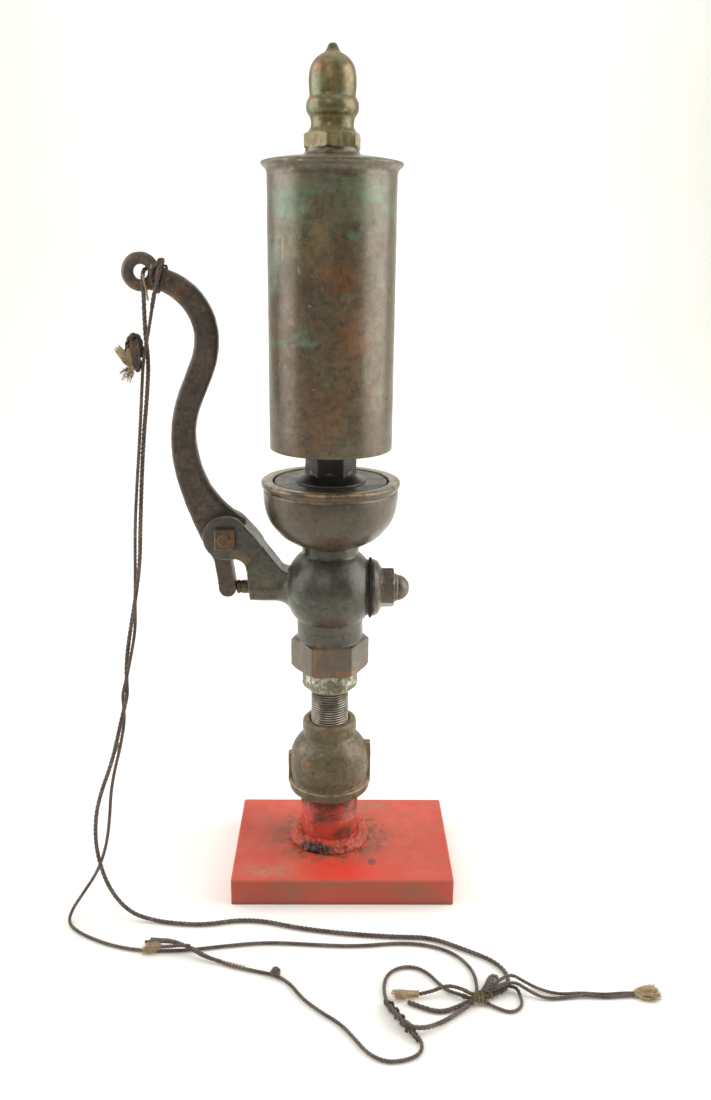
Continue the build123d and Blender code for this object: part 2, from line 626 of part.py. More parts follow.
PARTS = {
    "base_plate": base_plate, "base_weld": base_weld, "riser_pipe": riser_pipe, "bell_reducer": bell_reducer,
    "pipe_nipple": pipe_nipple, "hex_bushing": hex_bushing, "valve_body": valve_body, "valve_seat": valve_seat,
    "stem_bush": stem_bush, "valve_stem": valve_stem, "disc_washer": disc_washer, "disc_holder": disc_holder,
    "disc_nut": disc_nut, "return_spring": return_spring, "cap_gasket": cap_gasket, "valve_cap": valve_cap,
    "whistle_lever": whistle_lever, "pivot_bolt": pivot_bolt, "pivot_washer": pivot_washer, "pivot_nut": pivot_nut,
    "whistle_cup": whistle_cup, "languid_plate": languid_plate, "stem_hex": stem_hex, "bell_stem": bell_stem,
    "bell_shell": bell_shell, "bell_head": bell_head, "acorn_nut": acorn_nut,
    "cord_hitch": lambda: cord("cord_hitch", HITCH, CORD_D),
    "cord_line_a": lambda: cord("cord_line_a", LINE_A, CORD_D),
    "cord_line_b": lambda: cord("cord_line_b", LINE_B, TWINE_D),
    "cord_line_c": lambda: cord("cord_line_c", LINE_C, TWINE_D),
    "cord_line_g": lambda: cord("cord_line_g", LINE_G, CORD_D),
    "cord_end_e": lambda: cord("cord_end_e", END_E, TWINE_D),
    "cord_loop_f": lambda: cord("cord_loop_f", LOOP_F, CORD_D),
    "cord_loop_i": lambda: cord("cord_loop_i", LOOP_I, TAIL_D),
    "cord_bight_h": lambda: cord("cord_bight_h", BIGHT_H, TWINE_D),
    "cord_tail_1": lambda: cord("cord_tail_1", TAIL_1, TAIL_D),
    "cord_tail_2": lambda: cord("cord_tail_2", TAIL_2, TAIL_D),
    "upper_knot": lambda: button((-127.8, -7.5, 374.5), 7.4, 30, 5),
    "splice_knot": lambda: sleeve((-128, -103.2, 3.3), (-118, -104, 3.1), 6),
    "round_knot": lambda: Pos(-32.5, -133.3, 3.7) * Sphere(3.6),
    "frayed_sleeve": lambda: sleeve((41.5, -152.5, 2.9), (57, -152.2, 2.9), 5.4),
    "bow_knot": lambda: button((92.5, -155, 4.3), 6.8, 8.2, 3),
    "side_knot": lambda: button((107, -149, 4.6), 4.6, 8.6, 3),
    "tassel": tassel,
}


def main():
    os.makedirs("parts", exist_ok=True)
    for name, make in PARTS.items():
        shape = make()
        shape.label = name
        export_step(shape, f"parts/{name}.step")
        print(f"{name:16s} {shape.volume:12.1f} mm3")


main()
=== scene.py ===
import bpy
import bmesh
import random
from math import cos, pi, radians, sin, sqrt
from mathutils import Matrix, Vector, noise


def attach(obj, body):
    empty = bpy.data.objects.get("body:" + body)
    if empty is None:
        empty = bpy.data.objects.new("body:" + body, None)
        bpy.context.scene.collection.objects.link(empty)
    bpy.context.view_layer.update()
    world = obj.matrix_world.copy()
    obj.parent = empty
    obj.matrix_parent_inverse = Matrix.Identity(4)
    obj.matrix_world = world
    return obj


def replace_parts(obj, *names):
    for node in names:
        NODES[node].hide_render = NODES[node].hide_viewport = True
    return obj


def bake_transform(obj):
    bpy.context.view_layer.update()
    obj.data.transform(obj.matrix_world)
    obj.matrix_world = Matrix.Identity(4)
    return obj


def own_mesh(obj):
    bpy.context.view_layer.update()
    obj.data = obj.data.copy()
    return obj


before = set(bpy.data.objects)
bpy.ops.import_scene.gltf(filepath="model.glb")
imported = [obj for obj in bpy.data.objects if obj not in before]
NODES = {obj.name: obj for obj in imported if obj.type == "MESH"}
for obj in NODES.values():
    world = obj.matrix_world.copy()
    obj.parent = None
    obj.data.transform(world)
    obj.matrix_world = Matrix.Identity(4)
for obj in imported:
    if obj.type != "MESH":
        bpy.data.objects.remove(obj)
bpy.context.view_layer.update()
MM = 0.001
MERGE_M = 1e-6  # points nearer than this are one
SCENE = bpy.context.scene

# ---- camera ---------------------------------------------------------------------------

LENS_MM, SENSOR_MM = 32.86, 36
CAMERA_PLACE = (0.00536, -0.6644, 0.4422)
PAN, TILT, ROLL = radians(-1.03), radians(90 - 16.76), radians(0.7)


def placed(name, data):
    """A new object in the scene."""
    obj = bpy.data.objects.new(name, data)
    SCENE.collection.objects.link(obj)
    return obj


def make_camera():
    data = bpy.data.cameras.new("camera")
    data.sensor_width = SENSOR_MM
    data.lens = LENS_MM
    data.clip_start = 0.01
    obj = placed("camera", data)
    turn = Matrix.Rotation(PAN, 4, "Z") @ Matrix.Rotation(TILT, 4, "X")
    obj.matrix_world = Matrix.Translation(CAMERA_PLACE) @ turn @ Matrix.Rotation(ROLL, 4, "Z")
    SCENE.camera = obj


make_camera()


# ---- helpers --------------------------------------------------------------------------

def link(name, mesh, body="base"):
    """A new object on a body, or on none."""
    obj = placed(name, mesh)
    if body:
        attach(obj, body)
    return obj


def shade(mesh, angle=35):
    mesh.polygons.foreach_set("use_smooth", [True] * len(mesh.polygons))
    mesh.set_sharp_from_angle(angle=radians(angle))


def cleaned(mesh, merge=False):
    """Turns the normals outwards, and joins points that coincide if asked to."""
    bm = bmesh.new()
    bm.from_mesh(mesh)
    if merge:
        bmesh.ops.remove_doubles(bm, verts=bm.verts, dist=MERGE_M)
    bmesh.ops.recalc_face_normals(bm, faces=bm.faces)
    bm.to_mesh(mesh)
    bm.free()
    return mesh


def mesh_from(name, verts, faces):
    mesh = bpy.data.meshes.new(name)
    mesh.from_pydata(verts, [], faces)
    mesh.validate()
    return cleaned(mesh)


def new_mesh(name, bm):
    mesh = bpy.data.meshes.new(name)
    bm.to_mesh(mesh)
    bm.free()
    return mesh


def joined(name, meshes):
    bm = bmesh.new()
    for mesh in meshes:
        bm.from_mesh(mesh)
    return new_mesh(name, bm)


def evaluated(obj):
    """The object's mesh with its modifiers; the object itself is removed."""
    graph = bpy.context.evaluated_depsgraph_get()
    mesh = bpy.data.meshes.new_from_object(obj.evaluated_get(graph), depsgraph=graph)
    bpy.data.objects.remove(obj)
    return mesh


def bands(rows, count, first=0, closed=False):
    """Four-sided faces between rings of points that follow each other."""
    faces = []
    for row in range(rows if closed else rows - 1):
        low, high = first + row * count, first + (row + 1) % rows * count
        for i in range(count):
            j = (i + 1) % count
            faces.append((low + i, low + j, high + j, high + i))
    return faces


def polar_mesh(name, radius_at, heights, count, start=0.0):
    """Closed skin about Z: radius_at(angle, height) in mm, with a fan at each end."""
    verts = []
    for z in heights:
        for i in range(count):
            a = start + 2 * pi * i / count
            r = radius_at(a, z)
            verts.append((r * cos(a) * MM, r * sin(a) * MM, z * MM))
    faces = bands(len(heights), count)
    for row in (0, len(heights) - 1):
        verts.append((0, 0, heights[row] * MM))
        hub = len(verts) - 1
        faces += [(row * count + i, row * count + (i + 1) % count, hub) for i in range(count)]
    return mesh_from(name, verts, faces)


def smooth_profile(points):
    """Profile in mm: straight between points, with a run of corners rounded where flagged.
    A point is (radius, height) or (radius, height, round_mm)."""
    out, step_mm = [], 0.6
    for i, p in enumerate(points):
        here = Vector(p[:2])
        size = p[2] if len(p) > 2 else 0
        if size <= 0 or i in (0, len(points) - 1):
            out.append(here)
            continue
        before, after = Vector(points[i - 1][:2]), Vector(points[i + 1][:2])
        a = here + (before - here).normalized() * min(size, 0.49 * (before - here).length)
        b = here + (after - here).normalized() * min(size, 0.49 * (after - here).length)
        pieces = max(3, int(size / step_mm) + 2)
        for k in range(pieces + 1):
            t = k / pieces
            out.append(a * (1 - t) ** 2 + here * 2 * t * (1 - t) + b * t ** 2)
    return out


def divided(profile, longest=5.0):
    out = [profile[0]]
    for a, b in zip(profile, profile[1:]):
        parts = max(1, int((b - a).length / longest))
        out += [a.lerp(b, k / parts) for k in range(1, parts + 1)]
    return out


def lathe(name, points, count=160, wobble=0.0, closed=False, seed=0):
    """Turned skin from a profile in mm, with a little noise in its radius."""
    profile = divided(smooth_profile(points))
    verts = []
    for r, z in profile:
        for i in range(count):
            a = 2 * pi * i / count
            spot = Vector((cos(a) * 3, sin(a) * 3, z * 0.06 + seed * 7.3))
            grow = wobble * noise.noise(spot) if r > 0.01 else 0
            verts.append(((r + grow) * cos(a) * MM, (r + grow) * sin(a) * MM, z * MM))
    return cleaned(mesh_from(name, verts, bands(len(profile), count, 0, closed)), merge=True)


def remeshed(name, meshes, voxel, rounds):
    """Joins closed meshes into one skin with soft edges, like a casting: voxel in mm."""
    obj = placed(name + "_raw", joined(name + "_raw", meshes))
    skin = obj.modifiers.new("remesh", "REMESH")
    skin.mode = "VOXEL"
    skin.voxel_size = voxel * MM
    soft = obj.modifiers.new("soft", "SMOOTH")
    soft.factor = 0.5
    soft.iterations = rounds
    mesh = evaluated(obj)
    mesh.name = name
    return mesh


def roughen(mesh, amount, scale, seed=0):
    """Moves points along their normals by smooth noise: amount in mm, scale per mm."""
    normals = [v.normal.copy() for v in mesh.vertices]
    for v, n in zip(mesh.vertices, normals):
        spot = v.co * (scale / MM) + Vector((seed * 11.7, seed * 3.1, seed * 5.9))
        v.co += n * (amount * MM * noise.fractal(spot, 0.9, 2.1, 4))
    mesh.update()


def blob(centre, size, seed):
    """Lumpy ball: centre and half sizes in mm."""
    bm = bmesh.new()
    bmesh.ops.create_icosphere(bm, subdivisions=3, radius=1)
    for v in bm.verts:
        lump = 1 + 0.22 * noise.noise(v.co * 1.7 + Vector((seed * 3.3, seed * 1.7, 0)))
        v.co = Vector([c * s * lump for c, s in zip(v.co, size)])
        v.co = (v.co + Vector(centre)) * MM
    return new_mesh("blob", bm)


def copy_of(node):
    return NODES[node].data.copy()


def hex_bar(name, flats, low, high, turn=0.0, cuts=(0.8, 0.8), dent=0.08, seed=0, round_corner=0.35):
    """Hexagon bar with turned chamfers, slightly rounded corners and uneven faces. Its first corner is at
    turn."""
    corner = flats / 2 / cos(pi / 6)
    base_cut, top_cut = cuts
    rows = max(4, int((high - low) / 1.2))
    heights = [low, low + 0.35 * base_cut, low + base_cut]
    heights += [low + base_cut + (high - low - base_cut - top_cut) * k / rows for k in range(1, rows)]
    heights += [high - top_cut, high - 0.35 * top_cut, high]

    def radius(a, z):
        cone = min(corner - 2 * (base_cut - (z - low)), corner - 2 * (top_cut - (high - z)),
                   corner - round_corner)
        flat = flats / 2 / cos((a - turn) % (pi / 3) - pi / 6)
        spot = Vector((cos(a) * flats * 0.09, sin(a) * flats * 0.09, z * 0.09 + seed * 5))
        return min(flat, cone) - dent * (0.5 + noise.noise(spot * 2.2))
    return polar_mesh(name, radius, heights, 180, turn)


def thread_bar(name, radius, depth, pitch, ends, threaded, seed=0):
    """Bar with a right-hand helical thread between two heights, all in mm."""
    heights = []
    z = ends[0]
    while z < ends[1]:
        heights.append(z)
        z += pitch / 9 if threaded[0] - 1 < z < threaded[1] + 1 else 1.2
    heights.append(ends[1])

    def shape(a, z):
        spot = Vector((cos(a) * 2, sin(a) * 2, z * 0.3 + seed * 9))
        worn = 0.12 * noise.noise(spot * 1.5)
        fade = min(1, max(0, (z - threaded[0]) / 1.6)) * min(1, max(0, (threaded[1] - z) / 1.2))
        wave = abs(2 * ((z / pitch - a / (2 * pi)) % 1) - 1)
        crest = min(1.0, max(0.0, (wave - 0.1) / 0.78))
        return radius - depth * fade * crest + worn * 0.5
    return polar_mesh(name, shape, heights, 132)


# ---- materials ------------------------------------------------------------------------

def linear(colour):
    """sRGB 0..255 to linear."""
    shares = [c / 255 for c in colour]
    return tuple(c / 12.92 if c <= 0.04045 else ((c + 0.055) / 1.055) ** 2.4 for c in shares)


def darker(colour, share):
    return tuple(int(c * share) for c in colour)


class Paint:
    """Builds one node material, layer over layer. Places are in metres in the shared frame, which Object
    coordinates give."""

    def __init__(self, name, metallic=0.0, roughness=0.5, specular=0.5, coat=0.0):
        self.mat = bpy.data.materials.new(name)
        self.mat.use_nodes = True
        self.nodes = self.mat.node_tree.nodes
        self.links = self.mat.node_tree.links
        self.shader = self.nodes["Principled BSDF"]
        for socket, value in (("Metallic", metallic), ("Roughness", roughness),
                              ("Specular IOR Level", specular), ("Coat Weight", coat)):
            self.shader.inputs[socket].default_value = value
        self.coord = self.add("TexCoord", {}, "Object")
        self.base = None
        self.bumped = None

    def add(self, kind, inputs, output=0, **settings):
        """A new node: its settings, its inputs set or linked, and the output asked for."""
        node = self.nodes.new("ShaderNode" + kind)
        for name, value in settings.items():
            setattr(node, name, value)
        for socket, value in inputs.items():
            if isinstance(value, bpy.types.NodeSocket):
                self.links.new(value, node.inputs[socket])
            else:
                node.inputs[socket].default_value = value
        return node.outputs[output]

    def noise(self, scale, detail, rough, distort=0.0, stretch=None, offset=0.0):
        """Noise from 0 to 1; stretch scales the coordinates per axis."""
        vector = self.add("Mapping", {"Vector": self.coord, "Scale": stretch}) if stretch else self.coord
        return self.add("TexNoise", {"Vector": vector, "W": offset, "Scale": scale, "Detail": detail,
                                     "Roughness": rough, "Distortion": distort}, "Fac", noise_dimensions="4D")

    def ramp(self, value, low, high, start=0.0, end=1.0):
        """Value mapped from low..high to start..end, clamped and smooth."""
        return self.add("MapRange", {"Value": value, "From Min": low, "From Max": high, "To Min": start,
                                     "To Max": end}, "Result", interpolation_type="SMOOTHSTEP")

    def cloud(self, low, high, *noise_numbers):
        """Mask that is 0 where noise is under low and 1 where it is over high."""
        return self.ramp(self.noise(*noise_numbers), low, high)

    def times(self, a, b):
        return self.add("Math", {0: a, 1: b}, operation="MULTIPLY", use_clamp=True)

    def plus(self, a, b):
        return self.add("Math", {0: a, 1: b}, operation="ADD", use_clamp=True)

    def axis(self, name):
        return self.add("SeparateXYZ", {0: self.coord}, name)

    def between(self, value, low, high, soft):
        """One inside low..high, falling off over soft."""
        rise = self.ramp(value, low - soft, low + soft)
        return self.times(rise, self.ramp(value, high - soft, high + soft, 1.0, 0.0))

    def near(self, centre, size, soft=0.5):
        """One near a place, falling to nothing at size, all in metres."""
        way = self.add("VectorMath", {0: self.coord, 1: centre}, operation="SUBTRACT")
        share = self.add("VectorMath", {0: way, 1: size}, operation="DIVIDE")
        length = self.add("VectorMath", {0: share}, "Value", operation="LENGTH")
        return self.ramp(length, 1 - soft, 1.0, 1.0, 0.0)

    def blotches(self, places, scale, low, high, offset, stretch=(0.7, 1, 1.3)):
        """Ragged blotches, only near the given places: (centre, size) in metres."""
        near = None
        for centre, size in places:
            spot = self.near(centre, size, 0.9)
            near = spot if near is None else self.plus(near, spot)
        cloud = self.noise(scale, 10, 0.78, 0.7, stretch, offset)
        patch = self.ramp(self.plus(cloud, self.times(near, 0.17)), low, high)
        ragged = self.ramp(self.noise(scale * 5, 7, 0.75, 0.4, None, offset + 1), 0.38, 0.58, 0.25, 1.0)
        return self.times(patch, ragged)

    def edges(self, low, high):
        """Convex edges of the mesh."""
        return self.ramp(self.add("NewGeometry", {}, "Pointiness"), low, high)

    def facing(self, axis, low, high):
        """How far the surface faces along an axis of the object."""
        normal = self.add("NewGeometry", {}, "Normal")
        return self.ramp(self.add("SeparateXYZ", {0: normal}, axis), low, high)

    def mix(self, mask, below, above):
        """Colour below where the mask is 0, above where it is 1."""
        below, above = [(*linear(c), 1) if isinstance(c, tuple) else c for c in (below, above)]
        return self.add("Mix", {"Factor": mask, 6: below, 7: above}, 2, data_type="RGBA")

    def start(self, below, above, *cloud_numbers):
        """The first layer: two colours in a cloud."""
        self.base = self.mix(self.cloud(*cloud_numbers), below, above)

    def over(self, colour, share, *masks):
        """Lays a colour over the layers so far where all masks are 1, as strongly as share says."""
        mask = masks[-1] if share == 1 else self.times(masks[-1], share)
        for other in reversed(masks[:-1]):
            mask = self.times(other, mask)
        self.base = self.mix(mask, self.base, colour)

    def drive(self, socket, output):
        self.links.new(output, self.shader.inputs[socket])

    def bump(self, height, distance, strength=1.0):
        """Adds a layer of bump: distance in mm."""
        inputs = {"Strength": strength, "Distance": distance * MM, "Height": height}
        if self.bumped:
            inputs["Normal"] = self.bumped
        self.bumped = self.add("Bump", inputs, "Normal")
        self.drive("Normal", self.bumped)

    def finish(self):
        self.drive("Base Color", self.base)
        return self


def wear(obj, paint):
    obj.data.materials.clear()
    obj.data.materials.append(paint.mat)


def patina(name, dark, light, patches=(), worn=None, metallic=0.35, roughness=0.42, coat=0.25, grain=260,
           bump=0.12, wear_edges=(0.51, 0.56), pits=0.0, tone_scale=22, streak=0.0):
    """Old metal. Two tones in clouds, patches of other colours (colour, scale, low, high, share and a stretch
    if there is one), a fine dark and light grain, worn edges and pits."""
    p = Paint(name, metallic, roughness, coat=coat)
    p.shader.inputs["Coat Roughness"].default_value = 0.32
    dark, light = darker(dark, 0.9), darker(light, 0.9)
    p.start(dark, light, 0.36, 0.66, tone_scale, 8, 0.68)
    for k, (colour, scale, low, high, share, *more) in enumerate(patches):
        stretch = more[0] if more else None
        p.over(colour, share, p.cloud(low, high, scale, 8, 0.68, 0.6, stretch, 3.0 + 2.3 * k))
    if streak:
        p.over(darker(dark, 0.72), streak, p.cloud(0.5, 0.72, 75, 7, 0.68, 0.3, (1, 1, 0.06), 1.7))
    pale = tuple(min(255, int(c * 1.4)) for c in light)
    p.over(darker(dark, 0.72), 0.5, p.cloud(0.48, 0.62, grain * 0.4, 8, 0.78, 0.3, None, 18.0))
    p.over(darker(dark, 0.55), 0.55, p.cloud(0.46, 0.62, grain, 7, 0.75, 0, None, 2.0))
    p.over(pale, 0.5, p.cloud(0.55, 0.66, grain * 1.2, 7, 0.76, 0, None, 12.0))
    if worn:
        p.over(worn, 1, p.edges(*wear_edges), p.cloud(0.36, 0.58, 90, 5, 0.65, 0, None, 6.0))
    if pits:
        hole = p.cloud(0.66, 0.7, 170, 4, 0.6, 0.2, None, 15.0)
        p.over(darker(dark, 0.35), 0.8, hole)
        p.bump(hole, -pits)
    gloss = p.noise(80, 7, 0.68, 0, None, 8.0)
    p.drive("Roughness", p.ramp(gloss, 0.3, 0.72, roughness - 0.1, roughness + 0.2))
    p.bump(p.noise(grain * 1.4, 7, 0.7), bump)
    p.bump(p.noise(46, 6, 0.62, 0, None, 3.0), bump * 2.5)
    return p


def bell_paint():
    p = patina("bell_patina", (95, 77, 56), (118, 99, 73), (
        ((120, 82, 56), 30, 0.5, 0.66, 0.5, (1, 1, 0.7)), ((100, 104, 76), 24, 0.46, 0.64, 0.75, (1, 1, 0.6)),
        ((136, 108, 62), 42, 0.54, 0.7, 0.55, (1, 1, 0.8)), ((70, 58, 46), 34, 0.56, 0.72, 0.5, (1, 1, 0.5)),
        ((128, 70, 54), 60, 0.58, 0.7, 0.4, (1, 1, 0.8)),
    ), None, 0.42, 0.34, 0.5, 280, 0.05, streak=0.4, tone_scale=30)
    p.over((146, 92, 50), 0.55, p.blotches((
        ((0.012, -0.04, 0.385), (0.022, 0.03, 0.05)), ((0.0, -0.041, 0.432), (0.026, 0.03, 0.035)),
        ((-0.004, -0.041, 0.34), (0.03, 0.03, 0.03))), 48, 0.56, 0.76, 21.0))
    green = p.blotches((
        ((-0.026, -0.034, 0.468), (0.034, 0.03, 0.018)), ((-0.02, -0.036, 0.388), (0.028, 0.03, 0.014)),
        ((0.01, -0.04, 0.412), (0.012, 0.02, 0.014)), ((0.034, -0.02, 0.462), (0.02, 0.03, 0.03)),
        ((0.004, -0.04, 0.478), (0.03, 0.02, 0.008)), ((-0.036, -0.02, 0.43), (0.016, 0.02, 0.04)),
        ((0.0, 0.04, 0.45), (0.04, 0.03, 0.03)), ((-0.04, 0.0, 0.47), (0.02, 0.03, 0.03))),
        60, 0.57, 0.72, 7.2)
    p.over((88, 118, 92), 0.7, green)
    film = p.cloud(0.46, 0.64, 19, 9, 0.74, 0.5, (1, 1, 0.6), 31.0)
    p.over((106, 114, 90), 1, film, p.ramp(p.axis("Z"), 0.4, 0.484, 0.15, 0.55))
    p.over((86, 120, 94), 0.68, p.blotches((
        ((-0.026, -0.032, 0.4635), (0.036, 0.03, 0.0085)), ((-0.012, -0.04, 0.473), (0.02, 0.02, 0.004)),
        ((0.024, -0.032, 0.474), (0.02, 0.03, 0.012)), ((0.014, -0.036, 0.449), (0.006, 0.02, 0.006)),
        ((-0.034, -0.022, 0.384), (0.012, 0.02, 0.005))), 52, 0.58, 0.66, 44.0, (0.5, 0.6, 2.4)))
    p.over((126, 150, 122), 0.6, p.cloud(0.67, 0.72, 170, 4, 0.6, 0.0, None, 9.0))
    p.over((150, 146, 124), 0.6, p.cloud(0.64, 0.68, 120, 6, 0.7, 0.5, (1, 1, 0.12), 52.0))
    p.drive("Metallic", p.ramp(green, 0.0, 1.0, 0.42, 0.1))
    return p.finish()


def red_paint(name="red_paint", scorched=False, rough_bump=0.1):
    """Red oxide paint: worn and stained on the plate, with painted shade along its bottom edge; burnt brown
    on the riser and the weld, with painted shade in the weld's undercut holes and painted highlight specks.
    """
    p = Paint(name, metallic=0.0, roughness=0.46)
    p.start((188, 66, 48), (206, 84, 62), 0.38, 0.64, 9, 5, 0.55)
    p.over((180, 88, 68), 0.6, p.cloud(0.48, 0.66, 26, 9, 0.76, 0.5, (0.8, 1.6, 1), 2.0))
    p.over((158, 106, 82), 0.75, p.cloud(0.56, 0.72, 44, 9, 0.76, 0.6, (0.6, 1.4, 1), 12.0))
    p.over((214, 72, 50), 0.45, p.cloud(0.5, 0.68, 60, 8, 0.75, 0.2, (0.3, 1.8, 1), 27.0))
    p.over((150, 80, 62), 0.45, p.cloud(0.5, 0.64, 120, 7, 0.75, 0.2, None, 29.0))
    p.over((156, 106, 78), 0.85, p.blotches((
        ((-0.044, -0.046, 0.019), (0.04, 0.02, 0.02)), ((-0.02, -0.0535, 0.006), (0.05, 0.01, 0.008)),
        ((0.03, 0.038, 0.019), (0.04, 0.014, 0.01))), 46, 0.6, 0.7, 71.0, (0.5, 1.2, 1.5)))
    p.over((214, 52, 38), 0.75, p.near((0.012, -0.046, 0.019), (0.05, 0.026, 0.012), 0.9))
    corner = ((-0.045, -0.052, 0.019), (0.03, 0.012, 0.02))
    p.over((172, 122, 90), 0.85, p.blotches((corner,), 40, 0.62, 0.78, 17.0))
    side = p.facing("Y", -0.2, -0.8)
    p.over((164, 84, 62), 0.6, side, p.cloud(0.36, 0.62, 30, 8, 0.7, 0.4, (0.5, 1, 2.2), 5.5))
    p.over((150, 92, 66), 0.7, side, p.cloud(0.47, 0.6, 24, 9, 0.74, 0.6, (0.8, 1, 1.2), 75.0))
    z = p.axis("Z")
    # Painted shade: the lowest 3 mm of the plate's edge, next to the floor, is darker.
    p.over((116, 66, 50), 1, p.ramp(z, 0.0032, 0.0008, 0.0, 0.55))
    chips = p.cloud(0.67, 0.7, 190, 7, 0.75, 0.3, None, 6.0)
    p.over((96, 58, 42), 0.8, chips)
    ring = p.near((0.0, -0.003, 0.019), (0.056, 0.045, 0.016), 0.45)
    p.over((122, 80, 46), 0.85, ring, p.cloud(0.43, 0.53, 78, 9, 0.78, 0.8, None, 8.0))
    p.over((62, 44, 32), 0.85, ring, p.cloud(0.55, 0.61, 150, 8, 0.76, 0.6, None, 33.0))
    cells = p.add("TexVoronoi", {"Vector": p.coord, "Scale": 190}, "Distance")
    p.over((60, 44, 34), 0.9, p.ramp(cells, 0.3, 0.16), p.blotches((
        ((-0.034, -0.004, 0.019), (0.02, 0.024, 0.012)), ((0.036, 0.0, 0.019), (0.024, 0.028, 0.012))),
        60, 0.6, 0.7, 3.3))
    p.over((84, 66, 62), 0.75, p.near((0.031, -0.037, 0.019), (0.0042, 0.0055, 0.01)))
    if scorched:
        p.over((196, 46, 36), 1, 0.45)
        burnt = p.plus(p.ramp(z, 0.026, 0.062, 0.0, 0.24), p.noise(60, 9, 0.76, 0.6, None, 14.0))
        p.over((96, 52, 38), 0.85, p.ramp(burnt, 0.59, 0.7))
        # Painted shade: a near-black patch at the weld's front-left stands in for the shade in its undercut
        # holes.
        p.over((30, 22, 18), 1, p.near((-0.012, -0.0265, 0.0225), (0.019, 0.009, 0.0056), 0.4),
               p.cloud(0.38, 0.5, 150, 7, 0.75, 0, (1.6, 1, 0.3), 4.0))
        p.over((86, 48, 34), 0.85, p.near((0.012, -0.019, 0.031), (0.014, 0.012, 0.007), 0.7),
               p.cloud(0.36, 0.52, 80, 8, 0.76, 0.5, None, 77.0))
        p.over((112, 74, 44), 0.75, p.cloud(0.5, 0.6, 95, 9, 0.78, 0.5, None, 19.0),
               p.ramp(z, 0.028, 0.024, 0.35, 1.0))
        # Painted highlights: pale pink specks on the scorched riser and weld.
        p.over((208, 118, 104), 0.5, p.cloud(0.56, 0.66, 90, 8, 0.75, 0.3, None, 23.0))
    p.drive("Roughness", p.ramp(p.noise(90, 7, 0.68, 0, None, 5.0), 0.3, 0.7, 0.34, 0.62))
    p.bump(p.noise(320, 6, 0.68), rough_bump)
    p.bump(p.noise(60, 7, 0.66, 0.3, None, 1.5), rough_bump * 3)
    p.bump(chips, -0.2, 0.8)
    return p.finish()


def valve_paint():
    p = patina("valve_bronze", (74, 71, 58), (98, 94, 78), (
        ((80, 60, 46), 26, 0.52, 0.68, 0.45), ((72, 88, 74), 30, 0.6, 0.74, 0.5)),
        (134, 118, 92), 0.4, 0.4, 0.5, 240, 0.1, pits=0.15)
    p.over((110, 92, 72), 1, p.ramp(p.axis("Z"), 0.176, 0.18, 0.5, 0.0))
    stripe = p.plus(p.near((-0.0085, -0.026, 0.169), (0.0042, 0.02, 0.018)),
                    p.near((0.006, -0.024, 0.1585), (0.022, 0.02, 0.004), 0.6))
    p.over((150, 96, 50), 0.95, stripe, p.cloud(0.4, 0.56, 90, 8, 0.75, 0.2, (1, 1, 0.25), 5.0))
    spot = ((-0.025, -0.024, 0.213), (0.009, 0.01, 0.009))
    p.over((76, 124, 96), 0.7, p.blotches((spot,), 60, 0.62, 0.74, 3.0))
    p.over((118, 96, 56), 0.65, p.blotches((
        ((-0.047, -0.012, 0.222), (0.014, 0.01, 0.012)), ((-0.062, -0.012, 0.236), (0.014, 0.01, 0.016))),
        40, 0.54, 0.72, 9.0))
    return p.finish()


def acorn_paint():
    p = patina("acorn_brass", (116, 100, 56), (150, 128, 74), (
        ((110, 112, 78), 36, 0.48, 0.64, 0.6), ((150, 88, 54), 44, 0.58, 0.7, 0.5),
        ((76, 72, 50), 60, 0.54, 0.68, 0.5)), (176, 152, 104), 0.5, 0.34, 0.45, 260, 0.1,
        wear_edges=(0.53, 0.64))
    p.over((104, 120, 92), 0.8, p.blotches((
        ((-0.011, -0.01, 0.532), (0.011, 0.012, 0.02)), ((0.004, -0.014, 0.528), (0.005, 0.01, 0.016)),
        ((-0.012, -0.01, 0.514), (0.008, 0.01, 0.004))), 70, 0.54, 0.66, 61.0))
    p.over((146, 78, 50), 0.8, p.blotches((
        ((-0.008, -0.011, 0.546), (0.008, 0.01, 0.006)), ((0.003, -0.014, 0.541), (0.006, 0.01, 0.005)),
        ((-0.014, -0.008, 0.527), (0.005, 0.01, 0.006))), 90, 0.6, 0.72, 63.0))
    p.over((84, 118, 76), 0.7, p.blotches((
        ((0.006, -0.011, 0.549), (0.008, 0.01, 0.005)), ((0.011, -0.01, 0.512), (0.006, 0.01, 0.005))),
        80, 0.62, 0.72, 65.0))
    z = p.axis("Z")
    p.over((60, 62, 50), 1, p.ramp(z, 0.5545, 0.557, 0.0, 0.75))
    p.over((142, 130, 92), 1, p.ramp(z, 0.5105, 0.509, 0.0, 0.45))
    return p.finish()


def cup_paint():
    p = patina("cup_bronze", (82, 70, 52), (102, 88, 68), (
        ((120, 80, 56), 34, 0.52, 0.68, 0.5), ((88, 96, 76), 30, 0.52, 0.68, 0.65),
        ((60, 50, 42), 44, 0.56, 0.7, 0.5)), None, 0.42, 0.34, 0.5, 260, 0.08)
    z = p.axis("Z")
    # Pale rings on the rim top and on the bead below it: rubbed brass and painted highlight lines, broken up
    # by a cloud.
    rubbed_and_highlight = p.cloud(0.42, 0.6, 120, 7, 0.72, 0.3, (1, 1, 0.5), 41.0)
    p.over((170, 138, 92), 0.75, p.between(z, 0.2905, 0.2925, 0.0008), rubbed_and_highlight)
    p.over((158, 126, 84), 0.6, p.between(z, 0.2856, 0.2868, 0.0005), rubbed_and_highlight)
    return p.finish()


def cord_paint(name, dark, light, tint):
    p = Paint(name, metallic=0.0, roughness=0.75, specular=0.3)
    p.start(dark, light, 0.38, 0.66, 70, 6, 0.65)
    p.over(tint, 1, p.cloud(0.5, 0.7, 600, 5, 0.7, 0, None, 2.0))
    p.over(darker(dark, 0.55), 0.6, p.cloud(0.54, 0.68, 900, 4, 0.7, 0, None, 7.0))
    p.shader.inputs["Sheen Weight"].default_value = 0.2
    p.bump(p.noise(1500, 4, 0.7), 0.15)
    return p.finish()


